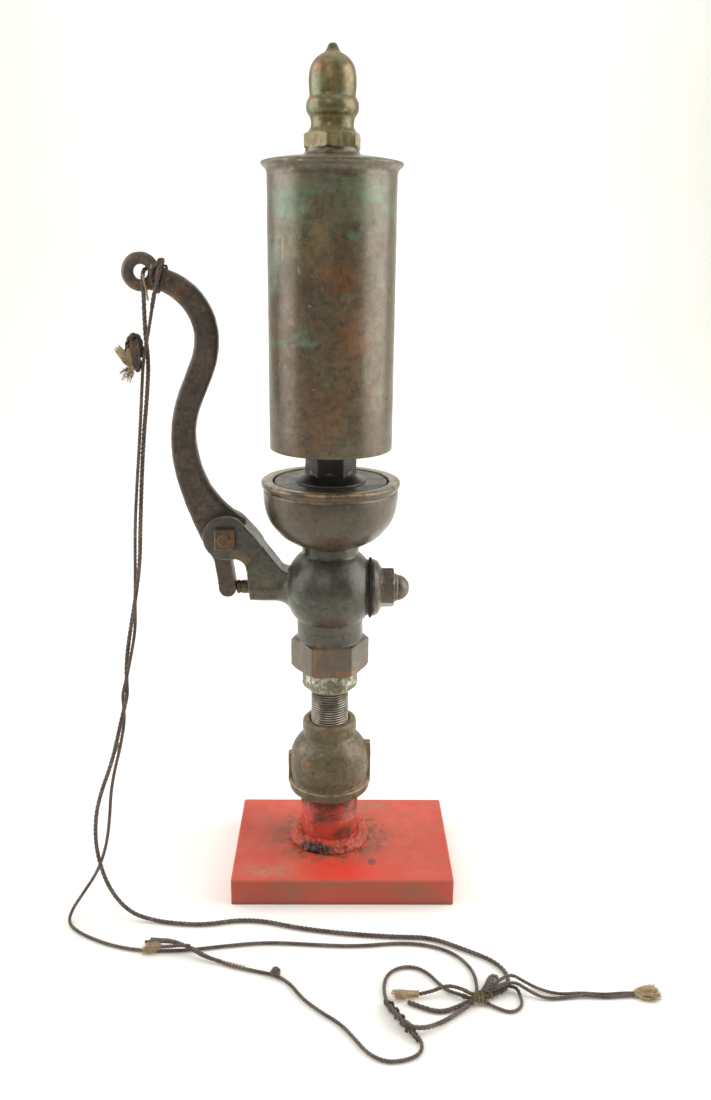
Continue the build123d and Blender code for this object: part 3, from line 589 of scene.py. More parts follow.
METALS = {
    "bell_top": patina("bell_top_metal", (104, 94, 74), (134, 120, 96), (
        ((108, 122, 100), 40, 0.5, 0.66, 0.6), ((138, 92, 62), 46, 0.6, 0.72, 0.6)),
        (164, 142, 106), 0.4, 0.36, 0.5, wear_edges=(0.54, 0.66)),
    "disc": patina("disc_metal", (66, 60, 52), (92, 84, 72), (), (130, 116, 92), 0.4, 0.42),
    "lever": patina("lever_iron", (74, 62, 52), (102, 88, 74), (
        ((136, 84, 52), 38, 0.52, 0.64, 0.7), ((88, 94, 78), 30, 0.54, 0.68, 0.6),
        ((46, 40, 36), 60, 0.56, 0.68, 0.65), ((118, 66, 54), 80, 0.58, 0.68, 0.5)),
        (164, 146, 120), 0.3, 0.48, 0.3, 230, 0.3, pits=0.4, wear_edges=(0.505, 0.55)),
    "reducer": patina("reducer_iron", (100, 88, 62), (128, 112, 82), (
        ((146, 100, 56), 44, 0.52, 0.66, 0.65), ((92, 90, 64), 30, 0.5, 0.66, 0.6),
        ((84, 68, 54), 36, 0.54, 0.68, 0.6), ((150, 140, 112), 70, 0.58, 0.7, 0.35)),
        (190, 152, 98), 0.3, 0.46, 0.25, 240, 0.3, pits=0.3, wear_edges=(0.505, 0.545)),
    "bushing": patina("bushing_bronze", (116, 112, 86), (168, 166, 142), (
        ((226, 226, 206), 110, 0.5, 0.62, 0.8), ((112, 132, 100), 60, 0.54, 0.66, 0.6),
        ((96, 72, 46), 80, 0.6, 0.7, 0.7)), (190, 184, 156), 0.15, 0.55, 0.1, 260, 0.35, pits=0.35),
    "nipple": patina("nipple_steel", (84, 74, 62), (118, 106, 92), (
        ((150, 142, 126), 50, 0.5, 0.66, 0.6), ((116, 76, 50), 60, 0.6, 0.72, 0.6)),
        (186, 178, 162), 0.4, 0.4, 0.3, 260, 0.1, wear_edges=(0.5, 0.53)),
    "hex": patina("hex_bronze", (34, 33, 32), (52, 49, 46), (((86, 70, 50), 40, 0.58, 0.72, 0.5),),
                  (100, 90, 74), 0.4, 0.42, 0.3, 240, 0.25),
    "cap": patina("cap_bronze", (86, 76, 64), (120, 106, 90), (((84, 62, 46), 40, 0.54, 0.68, 0.5),),
                  (176, 162, 136), 0.4, 0.38, 0.4, 260, 0.12),
    "bolt": patina("bolt_steel", (92, 70, 48), (118, 88, 58), (((134, 88, 48), 60, 0.54, 0.66, 0.5),),
                   (150, 124, 92), 0.2, 0.55, 0.1, 240, 0.2),
    "stem": patina("stem_brass", (92, 80, 62), (122, 106, 82), (), (160, 138, 100), 0.5, 0.36),
    "spindle": patina("spindle_bronze", (62, 54, 44), (86, 74, 60), (), (120, 104, 80), 0.4, 0.42),
    "spring": patina("spring_steel", (90, 90, 88), (130, 130, 126), (), (180, 180, 172), 0.9, 0.3),
    "rubber": patina("disc_rubber", (30, 28, 26), (44, 42, 40), (), None, 0.0, 0.7, 0.0),
}
PAINTS = {
    **{name: paint.finish() for name, paint in METALS.items()},
    "bell": bell_paint(),
    "red": red_paint(),
    "scorched": red_paint("scorched_paint", True, 0.16),
    "valve": valve_paint(),
    "cup": cup_paint(),
    "acorn": acorn_paint(),
    "cord": cord_paint("cord_twine", (78, 67, 64), (106, 93, 88), (146, 130, 116)),
    "knot": cord_paint("knot_twine", (58, 48, 38), (92, 78, 58), (134, 116, 84)),
    "straw": cord_paint("straw_twine", (92, 78, 50), (130, 112, 76), (168, 148, 108)),
    "fray": cord_paint("cord_fray", (150, 128, 94), (196, 174, 136), (222, 204, 170)),
}


# ---- cords ----------------------------------------------------------------------------

LAY = 3.1            # length of one twist of a rope, in diameters
GROUND_GAP = 0.0001  # how near a fibre comes to the ground, in metres

# Routes in mm, the same points as the CAD's.
HITCH = [
    (-119, -7.6, 404), (-118.82, -8.04, 411), (-119.3, -6.5, 418), (-119.6, -4.3, 424.2),
    (-119.5, 1, 427.3), (-118, 6, 428), (-112, 8.6, 426.5), (-108.6, 6.6, 432),
    (-107.3, 0, 433.8), (-107.4, -6.8, 432), (-108.8, -9.2, 425), (-110.8, -9.2, 417),
    (-112.89, -6.92, 410.4), (-114, -7.6, 404),
]
LINE_A = [
    (-119, -7.6, 404), (-119.4, -6.6, 388), (-118, -5.9, 371), (-119.6, -7.2, 350), (-123.2, -8, 322),
    (-125.4, -11.2, 292), (-126.7, -17, 261.5), (-127.2, -22.4, 237), (-130.7, -29.3, 212),
    (-134, -32.2, 194), (-137, -34.8, 174), (-137, -38.2, 162), (-136, -42.2, 152),
    (-137.9, -47.2, 143), (-140, -49.8, 134.5), (-143.7, -53.9, 117.5), (-147.8, -57.5, 103.5),
    (-153.6, -62.2, 88), (-157.2, -66.5, 71), (-156.6, -71.6, 50), (-149.5, -75, 24), (-136, -77, 6),
    (-119, -80, 1.6), (-101, -83.5, 1.6), (-82, -84.5, 1.6), (-62, -79.5, 1.6), (-43, -80.5, 1.6),
    (-20, -88, 1.6), (14, -94, 1.6), (45, -97, 1.6), (69, -97.5, 1.6), (90, -109.5, 1.6),
    (108.5, -121, 1.6), (115.5, -134.5, 1.6), (112, -148, 1.8), (97.5, -155, 3),
]
LINE_B = [
    (-114, -7.6, 404), (-116.6, -9.2, 389), (-120.7, -9.3, 373), (-123.1, -8.2, 350), (-125.3, -10.2, 322),
    (-128, -13.6, 292), (-130.2, -17.4, 261.5), (-130.6, -21, 237), (-131.1, -25.4, 212),
    (-130.7, -30.4, 194), (-134, -38.6, 174), (-136.6, -41.6, 162), (-139.4, -42.8, 152),
    (-138.7, -44, 143), (-137.9, -46.7, 134.5), (-140.7, -52, 117.5), (-144.2, -57, 103.5),
    (-146.8, -61.6, 88), (-147.6, -65.6, 71), (-150.6, -68, 51), (-157, -69.5, 33), (-168, -70.5, 16),
    (-175.5, -73, 5), (-176, -82, 1.3), (-168, -91, 1.3), (-154, -99.8, 1.3), (-137, -107, 1.3),
    (-118, -110.8, 1.3), (-93, -110.5, 1.3), (-66, -105.5, 1.3), (-38, -102, 1.3), (-10, -104.5, 1.3),
    (20, -106.2, 1.3), (48, -102.5, 1.3), (68, -105, 1.3), (83, -113, 1.3), (92, -126, 1.3),
    (94.5, -139, 1.3), (93, -150, 3),
]
LINE_C = [
    (-120, -103.5, 2.6), (-111, -104.5, 4), (-100, -108.5, 6.4), (-89, -113, 6.4),
    (-77, -118.5, 2.6), (-62, -124.5, 1.3), (-45, -130, 1.3), (-32, -133.5, 1.3),
    (-22.5, -141.5, 1.3), (-15, -154, 1.3), (-4, -165, 1.3), (8.5, -175, 1.3),
    (17, -187, 1.3), (24, -198, 1.3), (34, -204.5, 1.3), (45, -203.5, 1.3), (54.5, -199, 1.3),
    (56.5, -190, 1.3), (50.5, -179, 1.3), (42.5, -169, 1.3), (36.5, -157, 1.3),
    (35.5, -144, 1.3), (38.5, -132.5, 1.3), (47, -126, 1.3), (57, -126, 1.3),
    (65, -132.5, 1.3), (70.5, -142, 1.3), (77.5, -149.5, 1.3), (86.5, -153.8, 2.5),
]
LINE_G = [
    (38.2, -166.5, 5.6), (43, -174.5, 5.8), (48.5, -182.5, 5.8), (57.5, -183, 5), (66.5, -176.5, 2),
    (76.5, -169.5, 1.6), (86, -162, 2.6),
]
END_E = [
    (57, -152.2, 2.8), (65, -151, 3.6), (73, -149.2, 6.4), (80.5, -150, 6.4), (87, -153.2, 5.4),
]
LOOP_F = [
    (50, -157.5, 1.5), (58, -162, 1.5), (68, -166, 1.5), (77.5, -163.4, 1.5), (85.8, -158.4, 1.8),
]
LOOP_I = [
    (97.8, -158.2, 1.3), (104, -162.5, 1.2), (111, -166, 1.2), (117.5, -163.5, 1.2),
    (120.5, -157, 1.2), (119.3, -150.6, 1.4),
]
BIGHT_H = [
    (93.6, -154.2, 2.6), (95.8, -150.2, 2.6), (98.2, -146, 2.2), (100.2, -142, 1.8), (101.8, -138, 1.6),
    (103.4, -135.2, 1.6), (105.8, -134.2, 1.6), (107.8, -135.6, 1.6), (107.8, -138.6, 1.6),
    (106.2, -142.2, 1.8),
    (103.8, -146.2, 2.2), (101.4, -150, 2.4), (99, -153.8, 2.6),
]
TAIL_1 = [
    (103.5, -147.5, 5.5), (109.5, -143, 7), (116.5, -139.8, 7), (124, -141.8, 3), (133, -146.6, 1.3),
    (144, -151.6, 1.9), (158, -149.2, 1.2), (172, -151.9, 2.0), (184, -149.8, 1.6), (193, -150.4, 1.9),
]
TAIL_2 = [
    (104.4, -151.3, 5.5), (110.5, -148.6, 7.2), (117.5, -146.8, 7.2), (126, -150.6, 3), (135.5, -154.8, 1.3),
    (148, -153.4, 1.2), (160, -151.9, 2.1), (173, -153.4, 1.2), (184, -152, 1.6), (192.8, -151.6, 1.8),
]


def spline_points(route, step=0.7):
    """Evenly spaced points in metres along the route's own NURBS curve, and its length."""
    curve = bpy.data.curves.new("route", "CURVE")
    curve.dimensions = "3D"
    spline = curve.splines.new("NURBS")
    spline.points.add(len(route) - 1)
    for point, place in zip(spline.points, route):
        point.co = (*(c * MM for c in place), 1)
    spline.order_u = 3
    spline.use_endpoint_u = True
    spline.resolution_u = 24
    raw = [v.co.copy() for v in evaluated(placed("route", curve)).vertices]
    total = sum((b - a).length for a, b in zip(raw, raw[1:]))
    count = max(8, int(total / (step * MM)))
    out, walked, index = [raw[0]], 0.0, 0
    for k in range(1, count + 1):
        target = total * k / count
        while index < len(raw) - 2 and walked + (raw[index + 1] - raw[index]).length < target:
            walked += (raw[index + 1] - raw[index]).length
            index += 1
        a, b = raw[index], raw[index + 1]
        span = (b - a).length
        out.append(a.lerp(b, min(1.0, (target - walked) / span)) if span > 0 else b)
    return out, total


def frames_along(points):
    """A steady pair of cross directions at each point."""
    tangents = []
    for i in range(len(points)):
        a, b = points[max(0, i - 1)], points[min(len(points) - 1, i + 1)]
        tangents.append((b - a).normalized())
    side = tangents[0].orthogonal().normalized()
    pairs = []
    for t in tangents:
        side = (side - t * side.dot(t)).normalized()
        pairs.append((side.copy(), t.cross(side)))
    return pairs


def twisted(points, diameter, strands=3, sides=8, seed=0, lumps=0.05):
    """Rope of twisted strands round a line: verts and faces in metres, from a diameter in mm."""
    verts, faces = [], []
    strand_r, offset, lay = diameter * 0.275 * MM, diameter * 0.225 * MM, LAY * diameter * MM
    walked, turns = 0.0, []
    for i, p in enumerate(points):
        if i:
            walked += (p - points[i - 1]).length
        turns.append(2 * pi * walked / lay)
    last = len(points) - 1
    for s in range(strands):
        first = len(verts)
        for p, (u, v), turn in zip(points, frames_along(points), turns):
            a = turn + 2 * pi * s / strands
            middle = p + u * (offset * cos(a)) + v * (offset * sin(a))
            swell = 1 + lumps * noise.noise(p * 900 + Vector((s * 9, seed, 0)))
            for k in range(sides):
                b = 2 * pi * k / sides
                verts.append(middle + (u * cos(b) + v * sin(b)) * strand_r * swell)
        faces += bands(len(points), sides, first)
        faces += [tuple(first + end * sides + k for k in range(sides)) for end in (0, last)]
    return verts, faces


def tube(points, radius, sides=7):
    """Verts and faces of one closed tube; radius in mm is a function of 0..1 along it."""
    verts = []
    last = len(points) - 1
    for i, (p, (u, v)) in enumerate(zip(points, frames_along(points))):
        r = radius(i / last) * MM
        verts += [p + (u * cos(2 * pi * k / sides) + v * sin(2 * pi * k / sides)) * r for k in range(sides)]
    faces = bands(len(points), sides)
    faces.append(tuple(reversed(range(sides))))
    faces.append(tuple(last * sides + k for k in range(sides)))
    return verts, faces


def gathered(name, tubes, paint, body="base"):
    """One object from many tubes. Soft fibres flatten where they meet the ground."""
    verts, faces = [], []
    for more_verts, more_faces in tubes:
        first = len(verts)
        verts += [(v[0], v[1], max(v[2], GROUND_GAP)) for v in more_verts]
        faces += [tuple(first + k for k in f) for f in more_faces]
    return cord_piece(name, verts, faces, paint, body)


def cord_piece(name, verts, faces, paint, body):
    mesh = mesh_from(name, verts, faces)
    shade(mesh, 60)
    obj = link(name, mesh, body)
    wear(obj, PAINTS[paint])
    return obj


def strand(diameter, seed, *route, strands=3):
    """Twisted strand on a short given route in mm."""
    return twisted(spline_points(route, 0.5)[0], diameter, strands, 7, seed, 0.12)


def cross_axes(a, b):
    """The unit vector from a to b, a level one across it and the one square to both."""
    along = (b - a).normalized()
    level = along.cross(Vector((0, 0, 1)))
    level = level.normalized() if level.length > 0.1 else Vector((1, 0, 0))
    return along, level, level.cross(along).normalized()


def fibres(start, end, near, far, count, thick, seed, bend=0.5, cut=0.12):
    """Loose fibres from start to end; near and far are the half widths (across, up) there, in mm."""
    rng = random.Random(seed)
    a, b = Vector(start), Vector(end)
    _, across, up = cross_axes(a, b)
    tubes = []
    for _ in range(count):
        angle, out = rng.uniform(0, 2 * pi), sqrt(rng.random())
        reach = 1 + rng.uniform(-cut, cut)
        shift = [rng.uniform(-bend, bend) for _ in range(4)]
        points = []
        for k in range(6):
            s = k / 5
            w = near[0] + (far[0] - near[0]) * s
            h = near[1] + (far[1] - near[1]) * s
            wave = sin(pi * s)
            place = a + (b - a) * (s * reach) + across * (w * out * cos(angle) + shift[0] * wave)
            place += up * (h * out * sin(angle) + shift[1] * wave * min(1.0, h))
            points.append(place * MM)
        size = thick * rng.uniform(0.55, 1.3)
        tubes.append(tube(points, lambda s, size=size: size * (1 - 0.35 * s), 5))
    return tubes


def wound(start, end, turns, half, wire, seed, square=1.0, strands=0, step=16, wander=0.12):
    """Cord wound round a line; half holds the half widths (level, upright), in mm."""
    rng = random.Random(seed)
    a, b = Vector(start), Vector(end)
    along, level, upright = cross_axes(a, b)
    points, count = [], int(turns * step)
    for k in range(count + 1):
        angle = 2 * pi * k / step
        c, s = cos(angle), sin(angle)
        loose = 1 + rng.uniform(-wander, wander) * 0.5
        place = a + (b - a) * (k / count) + along * rng.uniform(-wander, wander)
        place += level * (half[0] * loose * abs(c) ** square * (1 if c > 0 else -1))
        place += upright * (half[1] * loose * abs(s) ** square * (1 if s > 0 else -1))
        points.append(place * MM)
    return twisted(points, wire, strands, 6, seed) if strands else tube(points, lambda s: wire / 2)


def hitch_knot():
    return gathered("hitch_wraps", [
        wound((-113.8, 0, 423.9), (-106.8, 0, 421.2), 3.2, (6.7, 8.5), 1.9, 3, 0.62, 3, 28, 0.1),
        strand(2.2, 0, (-110.5, -7.2, 429), (-109.3, -7.9, 431.5), (-108.2, -6, 434), (-106.8, -4, 433),
               (-107.2, -6.5, 430.5)),
        strand(2, 4, (-113.5, -8.2, 428), (-114, -9, 422), (-111.5, -9, 416), (-108.5, -8.2, 413.5)),
    ], "knot", "lever")


def hitch_threads():
    threads = [strand(1.6, 0, (-119.4, -5.2, 424.5), (-118.2, -7.6, 420), (-117.4, -8.2, 416.5),
                      (-116.6, -7.6, 413), strands=2)]
    threads += fibres((-117, -8, 414), (-116.2, -7.8, 408.5), (0.5, 0.5), (1.6, 0.8), 12, 0.14, 5)
    return gathered("hitch_threads", threads, "fray", "lever")


def upper_knot():
    dark = [
        strand(3.6, 1, (-131.2, -6.5, 373), (-131.4, -7, 379), (-129.4, -7.5, 385), (-126.6, -7.5, 387.4),
               (-123.4, -7.5, 385.8), (-121.9, -7, 380), (-122.2, -7, 373)),
        strand(3.8, 2, (-129, -5.5, 384), (-127.5, -4.6, 378), (-124.6, -5, 370), (-122.6, -7, 365.5)),
        strand(3.4, 4, (-130.6, -8.6, 381), (-129.6, -10.8, 376), (-128, -11.2, 370.5), (-126, -9.6, 366),
               (-124.2, -8, 364.4)),
        strand(2.6, 6, (-127.6, -9.6, 386), (-126.6, -11.8, 381.4), (-127, -12, 376), (-128.8, -9.6, 371)),
        wound((-127.8, -7.6, 381.5), (-126.2, -7.6, 369), 3.4, (3.4, 3.6), 2.4, 5, 1, 3, 18, 0.35),
        strand(3.6, 8, (-130, -6, 381), (-127.4, -5.4, 384.4), (-124, -6, 383), (-123, -7, 378)),
    ]
    right = [
        strand(3, 3, (-124.8, -9.8, 384.4), (-123.4, -11.4, 378), (-123.6, -11.2, 371), (-124.8, -9.4, 366)),
        strand(2.4, 9, (-126.2, -11.2, 383), (-125.4, -12.6, 377), (-125.6, -12.2, 371.6),
               (-126.8, -10.4, 367)),
    ]
    pieces = [gathered("upper_knot_wraps", dark, "knot", None),
              gathered("upper_knot_strands", right, "cord", None)]
    tan = fibres((-127.4, -11, 366.4), (-135.2, -11.4, 377), (1.2, 1.2), (4, 2.4), 120, 0.2, 11, 1.8, 0.3)
    tan += fibres((-129.4, -12.4, 379), (-128.4, -13.4, 367), (1, 0.6), (1.8, 0.8), 60, 0.2, 14, 1.4, 0.25)
    pieces.append(gathered("upper_knot_frays", tan, "fray", None))
    loose = []
    for number, (x, z) in enumerate(((-134.6, 363.4), (-133.4, 359.6), (-130.2, 358.6), (-128.4, 361))):
        loose += fibres((-128.8, -10, 367), (x, -9.5, z), (0.8, 0.8), (1.7, 1.4),
                        16, 0.2, 80 + number, 1.4, 0.3)
    loose += fibres((-127.6, -12.6, 384), (-127, -13.6, 372), (0.5, 0.4), (0.9, 0.6), 18, 0.2, 13, 0.8, 0.2)
    pieces.append(gathered("upper_knot_threads", loose, "straw", None))
    return pieces


def whipping():
    rounds = wound((-141.7, -52.4, 121.5), (-142.9, -53.6, 116.2), 3.5, (3.1, 2.1), 0.8, 7, 1, 0, 20, 0.3)
    return gathered("whipping", [rounds], "straw")


def splice():
    tan = fibres((-108.5, -109.4, 3.4), (-116.6, -109.4, 3.4), (1.7, 1.5), (3.4, 2.3),
                 110, 0.24, 21, 1.2, 0.3)
    tan += fibres((-110.5, -109.4, 3), (-118.8, -111, 2.4), (1.5, 1.2), (4.6, 1.6), 80, 0.22, 26, 1.5, 0.3)
    sleeve = gathered("splice_sleeve", tan, "fray")
    twist = [
        strand(2.6, 22, (-116.5, -101.2, 3), (-111, -103.4, 4.2), (-104, -106.8, 6.6), (-97, -109.6, 6.8),
               (-88, -114.2, 5.6), (-78, -119.6, 3.2), (-68, -121.5, 1.8)),
        strand(2.4, 23, (-110, -109.6, 3.6), (-104, -110.6, 4.6), (-96, -112, 6.6), (-89, -112.8, 6.9)),
    ]
    return [sleeve, gathered("splice_strands", twist, "cord")]


def splice_whitening():
    rounds = wound((-67, -122.4, 1.75), (-52, -127.6, 1.75), 7, (1.35, 1.3), 0.6, 24, 1, 0, 14, 0.1)
    return gathered("splice_threads", [rounds], "fray")


def round_knot():
    centre = Vector((-32.3, -133.4, 3.7))
    loops = []
    for number, (tilt, turn) in enumerate(((0.2, 0.3), (1.3, 1), (1.2, 2.2), (0.8, 4))):
        spin = Matrix.Rotation(turn, 4, "Z") @ Matrix.Rotation(tilt, 4, "X")
        ring = [centre + spin @ Vector((2.15 * cos(a), 2.15 * sin(a), 0.25 * sin(2 * a)))
                for a in (2 * pi * k / 20 for k in range(22))]
        loops.append(twisted([p * MM for p in ring], 2.5, 3, 7, number))
    return gathered("round_knot_wraps", loops, "cord")


def sleeve_e():
    tan = fibres((56.8, -152.4, 3.2), (45.5, -153, 3.2), (1.3, 1.3), (1.8, 1.6), 110, 0.24, 31, 0.8, 0.25)
    tan += fibres((52, -152.8, 3.3), (41.8, -152.6, 3.8), (1.5, 1.3), (2.8, 1.3), 70, 0.2, 32, 1, 0.25)
    tan += fibres((51, -153.2, 2.8), (43.4, -154.2, 2.4), (1.3, 1.1), (2.4, 1), 50, 0.2, 33, 1, 0.25)
    tan.append(wound((56.8, -152.4, 3.2), (54.2, -152.5, 3.2), 2.5, (1.8, 1.7), 0.9, 34, 1, 2, 16, 0.3))
    return gathered("sleeve_frays", tan, "fray")


def bow_knot():
    dark = [
        strand(2.6, 41, (84.5, -163, 2.4), (88.5, -160, 3.4), (93, -156.6, 4.2), (97, -153.6, 4.4)),
        strand(2.4, 42, (84, -159.4, 2), (88.5, -157.8, 2.8), (93, -157.2, 3.2), (99.5, -159.2, 1.5)),
        strand(2.4, 43, (84.5, -152, 5.4), (89, -154.8, 5.4), (93.5, -157, 4), (98.8, -159, 1.8)),
        strand(2.4, 44, (93, -149, 3), (92.8, -152.5, 4.4), (91.2, -156.5, 5.2), (88.4, -160.4, 3)),
        strand(2.1, 45, (88.2, -160.6, 2), (89.8, -158.8, 5), (92.6, -155.2, 6), (95.6, -151.8, 4.6),
               (96.6, -150.2, 2.2)),
        strand(2.4, 46, (100, -154.2, 3), (95.4, -155.6, 4.4), (90.5, -158, 4)),
        strand(2.4, 47, (83.5, -154, 2.4), (88, -155.4, 2.6), (92, -156.4, 3)),
    ]
    tan = [strand(1.7, 48, (92, -151.8, 3.2), (94.4, -153.6, 5.6), (95.8, -156.8, 5), (95.4, -159.6, 2.2),
                  strands=2),
           strand(1.5, 49, (90.4, -152.2, 3.6), (92.2, -154.2, 6), (93.6, -157.6, 5.4), (93, -160.2, 2.4),
                  strands=2)]
    return [gathered("bow_knot_wraps", dark, "knot"), gathered("bow_knot_threads", tan, "straw")]


def side_knot():
    dark = [
        strand(2.7, 51, (93.6, -154.4, 4.6), (99, -152.2, 5), (105, -149, 5.2), (109.6, -146.4, 4.8),
               (112.4, -144.4, 4)),
        strand(2.7, 52, (93.4, -156.4, 3.4), (99.4, -154.8, 3.2), (105.6, -152, 3.2), (111.4, -148.2, 3.4)),
        strand(2, 53, (97.6, -156, 2.4), (100.4, -154, 5.2), (105, -149.4, 6.4), (107.4, -146.6, 3.6)),
        strand(2.2, 54, (107.4, -151.6, 2.2), (109.4, -149.8, 5.2), (111, -146.4, 5.6), (111.6, -143.6, 3)),
        strand(2.2, 56, (119.5, -151.4, 1.5), (119.2, -147.8, 2.2), (115.6, -146, 3.4), (110.5, -146.4, 3.8)),
    ]
    tan = [strand(1.3, 55, (97, -150.4, 3), (98.8, -152.2, 5.8), (101.2, -154.6, 4.6), (102, -156, 2.2),
                  strands=2)]
    core = [strand(3.1, 57, (98.8, -150.4, 3), (101.2, -145, 2.5), (103.2, -140.6, 2.1),
                   (104.8, -137.6, 1.9))]
    return [gathered("side_knot_wraps", dark, "knot"), gathered("side_knot_coils", tan, "straw"),
            gathered("bight_core", core, "cord")]


def bow_wraps():
    """Loops G and C wound together at the left of the bow."""
    dark = [
        wound((37.4, -160.5, 3.4), (50.5, -184.4, 3.4), 4.5, (1.9, 1.8), 2.2, 61, 1, 3, 16, 0.4),
        strand(2.8, 62, (36, -157.5, 2.6), (37.4, -166, 5.4), (43.6, -175.6, 5.8), (50, -184.6, 4),
               (54.2, -189.6, 2)),
    ]
    knot = gathered("bow_wraps", dark, "knot")
    tan = [wound((39.5, -165.5, 3.7), (49, -181.2, 3.7), 2.5, (2.2, 2.3), 1, 63, 1, 2, 16, 0.5)]
    return [knot, gathered("bow_threads", tan, "straw")]


def tassel():
    tan = fibres((190.5, -151, 2.2), (203.4, -149.6, 3), (1.6, 1.3), (6, 2.2), 180, 0.21, 71, 1.6, 0.25)
    tan += fibres((191.5, -151.2, 2.2), (203, -153, 2.2), (1.4, 1.1), (4.6, 1.6), 80, 0.2, 72, 1.6, 0.3)
    return gathered("tassel_fibres", tan, "fray")


def make_knots():
    """Knots and frays, by the name of the rope that carries them."""
    for name, node, pieces in (
            ("hitch_rope", None, [hitch_knot(), hitch_threads()]),
            ("fall_a_rope", "upper_knot", upper_knot() + [whipping()]),
            ("line_c_rope", "splice_knot", splice() + [splice_whitening()]),
            ("line_c_rope", "round_knot", [round_knot()]),
            ("end_e_rope", "frayed_sleeve", [sleeve_e()]),
            ("line_g_rope", "bow_knot", bow_knot()),
            ("line_g_rope", None, bow_wraps()),
            ("bight_rope", "side_knot", side_knot()),
            ("tail_1_rope", "tassel", [tassel()])):
        KNOTS[name] += pieces
        for obj in pieces:
            if node:
                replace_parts(obj, node)


def rope(name, route, diameter, body, seed):
    points, length = spline_points(route)
    obj = cord_piece(name, *twisted(points, diameter, 3, 8, seed, 0.1), "cord", body)
    return obj


ROPES = [
    ("hitch_rope", "cord_hitch", HITCH, 3.0, "lever", "object", "taut"),
    ("fall_a_rope", "cord_line_a", LINE_A, 3.0, None, "knot", "hanging"),
    ("fall_b_rope", "cord_line_b", LINE_B, 2.4, None, "knot", "hanging"),
    ("line_c_rope", "cord_line_c", LINE_C, 2.4, "base", "knot", "loose"),
    ("line_g_rope", "cord_line_g", LINE_G, 3.0, "base", "knot", "loose"),
    ("end_e_rope", "cord_end_e", END_E, 2.4, "base", "knot", "loose"),
    ("loop_f_rope", "cord_loop_f", LOOP_F, 3.0, "base", "knot", "loose"),
    ("loop_i_rope", "cord_loop_i", LOOP_I, 2.2, "base", "bare", "loose"),
    ("bight_rope", "cord_bight_h", BIGHT_H, 2.4, "base", "knot", "loose"),
    ("tail_1_rope", "cord_tail_1", TAIL_1, 2.2, "base", "knot", "loose"),
    ("tail_2_rope", "cord_tail_2", TAIL_2, 2.2, "base", "knot", "loose"),
]
KNOTS = {row[0]: [] for row in ROPES}
make_knots()
for number, (name, node, route, size, body, end, lay) in enumerate(ROPES):
    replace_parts(rope(name, route, size, body, number), node)

# The falls and the upper knot have their placement baked into their meshes.
for name in ("fall_a_rope", "fall_b_rope", "upper_knot_wraps", "upper_knot_strands", "upper_knot_frays",
             "upper_knot_threads"):
    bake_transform(bpy.data.objects[name])


# ---- the whistle --------------------------------------------------------------------------

PITCH_14_TPI, PITCH_11_5_TPI = 1.814, 2.209  # mm, pipe threads of the nipple and of the riser


def piece(mesh, node, paint, body="base", angle=35):
    """Puts a detailed mesh in place of a CAD node."""
    shade(mesh, angle)
    obj = link(mesh.name, mesh, body)
    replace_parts(obj, node)
    wear(obj, PAINTS[paint])
    return obj


def casting(name, node, voxel, rounds, rough, paint, body="base"):
    """A CAD node as a casting: soft edges and an uneven skin; rough is (amount, scale, seed)."""
    mesh = remeshed(name, [copy_of(node)], voxel, rounds)
    roughen(mesh, *rough)
    piece(mesh, node, paint, body, 180)


def make_bell():
    shell = lathe("bell_tube", [
        (38.26, 484), (38.26, 314.3, 0.3), (38.9, 313.5, 0.4), (40.3, 313.5, 0.4), (40.76, 314.4, 0.4),
        (40.76, 484),
    ], 192, 0.1, True)
    piece(shell, "bell_shell", "bell")
    head = lathe("bell_top", [
        (6.4, 488), (35.2, 488), (35.2, 476), (38.2, 476), (38.2, 484), (40.74, 484.05), (40.8, 486.2, 1.2),
        (41.7, 488.4, 1.4), (43.7, 490, 1), (44.6, 491.2, 0.8), (44.4, 492.3, 0.7), (43.4, 492.9, 0.6),
        (38.5, 494, 3), (30, 495.2, 3), (21.5, 495.9, 1.5), (19.3, 496.2, 0.8), (17.7, 497.2, 0.9),
        (16.85, 498.8, 0.6), (16.85, 500.5), (6.4, 500.5),
    ], 192, 0.06, True, 3)
    piece(head, "bell_head", "bell_top")


def make_acorn():
    nut = hex_bar("nut", 33.2, 500.5, 509, radians(23), (0.6, 1.1), 0.12, 4)
    dome = lathe("dome", [
        (0, 505), (12, 505), (16.2, 508.6, 0.8), (15.4, 509.6, 0.5), (13.7, 511.6, 1.2), (13.1, 514.6, 1.8),
        (13.9, 518.2, 1.5), (15.2, 519.8, 0.5), (16.1, 521.8, 1), (16.35, 524.4, 1.6), (15.9, 527.2, 1.2),
        (14.6, 529.2, 0.6), (14.1, 530.6, 0.6), (14.5, 534, 2), (14.75, 539, 3), (14.2, 544.2, 3),
        (12.9, 548, 2.4), (10.4, 551.2, 1.8), (7.6, 553.2, 1.2), (5.2, 554.4, 0.8), (3.9, 556, 0.7),
        (3, 558.2, 0.6), (1.9, 559.6, 0.5), (0, 559.9),
    ], 128, 0.1, False, 8)
    piece(joined("finial", [nut, dome]), "acorn_nut", "acorn")


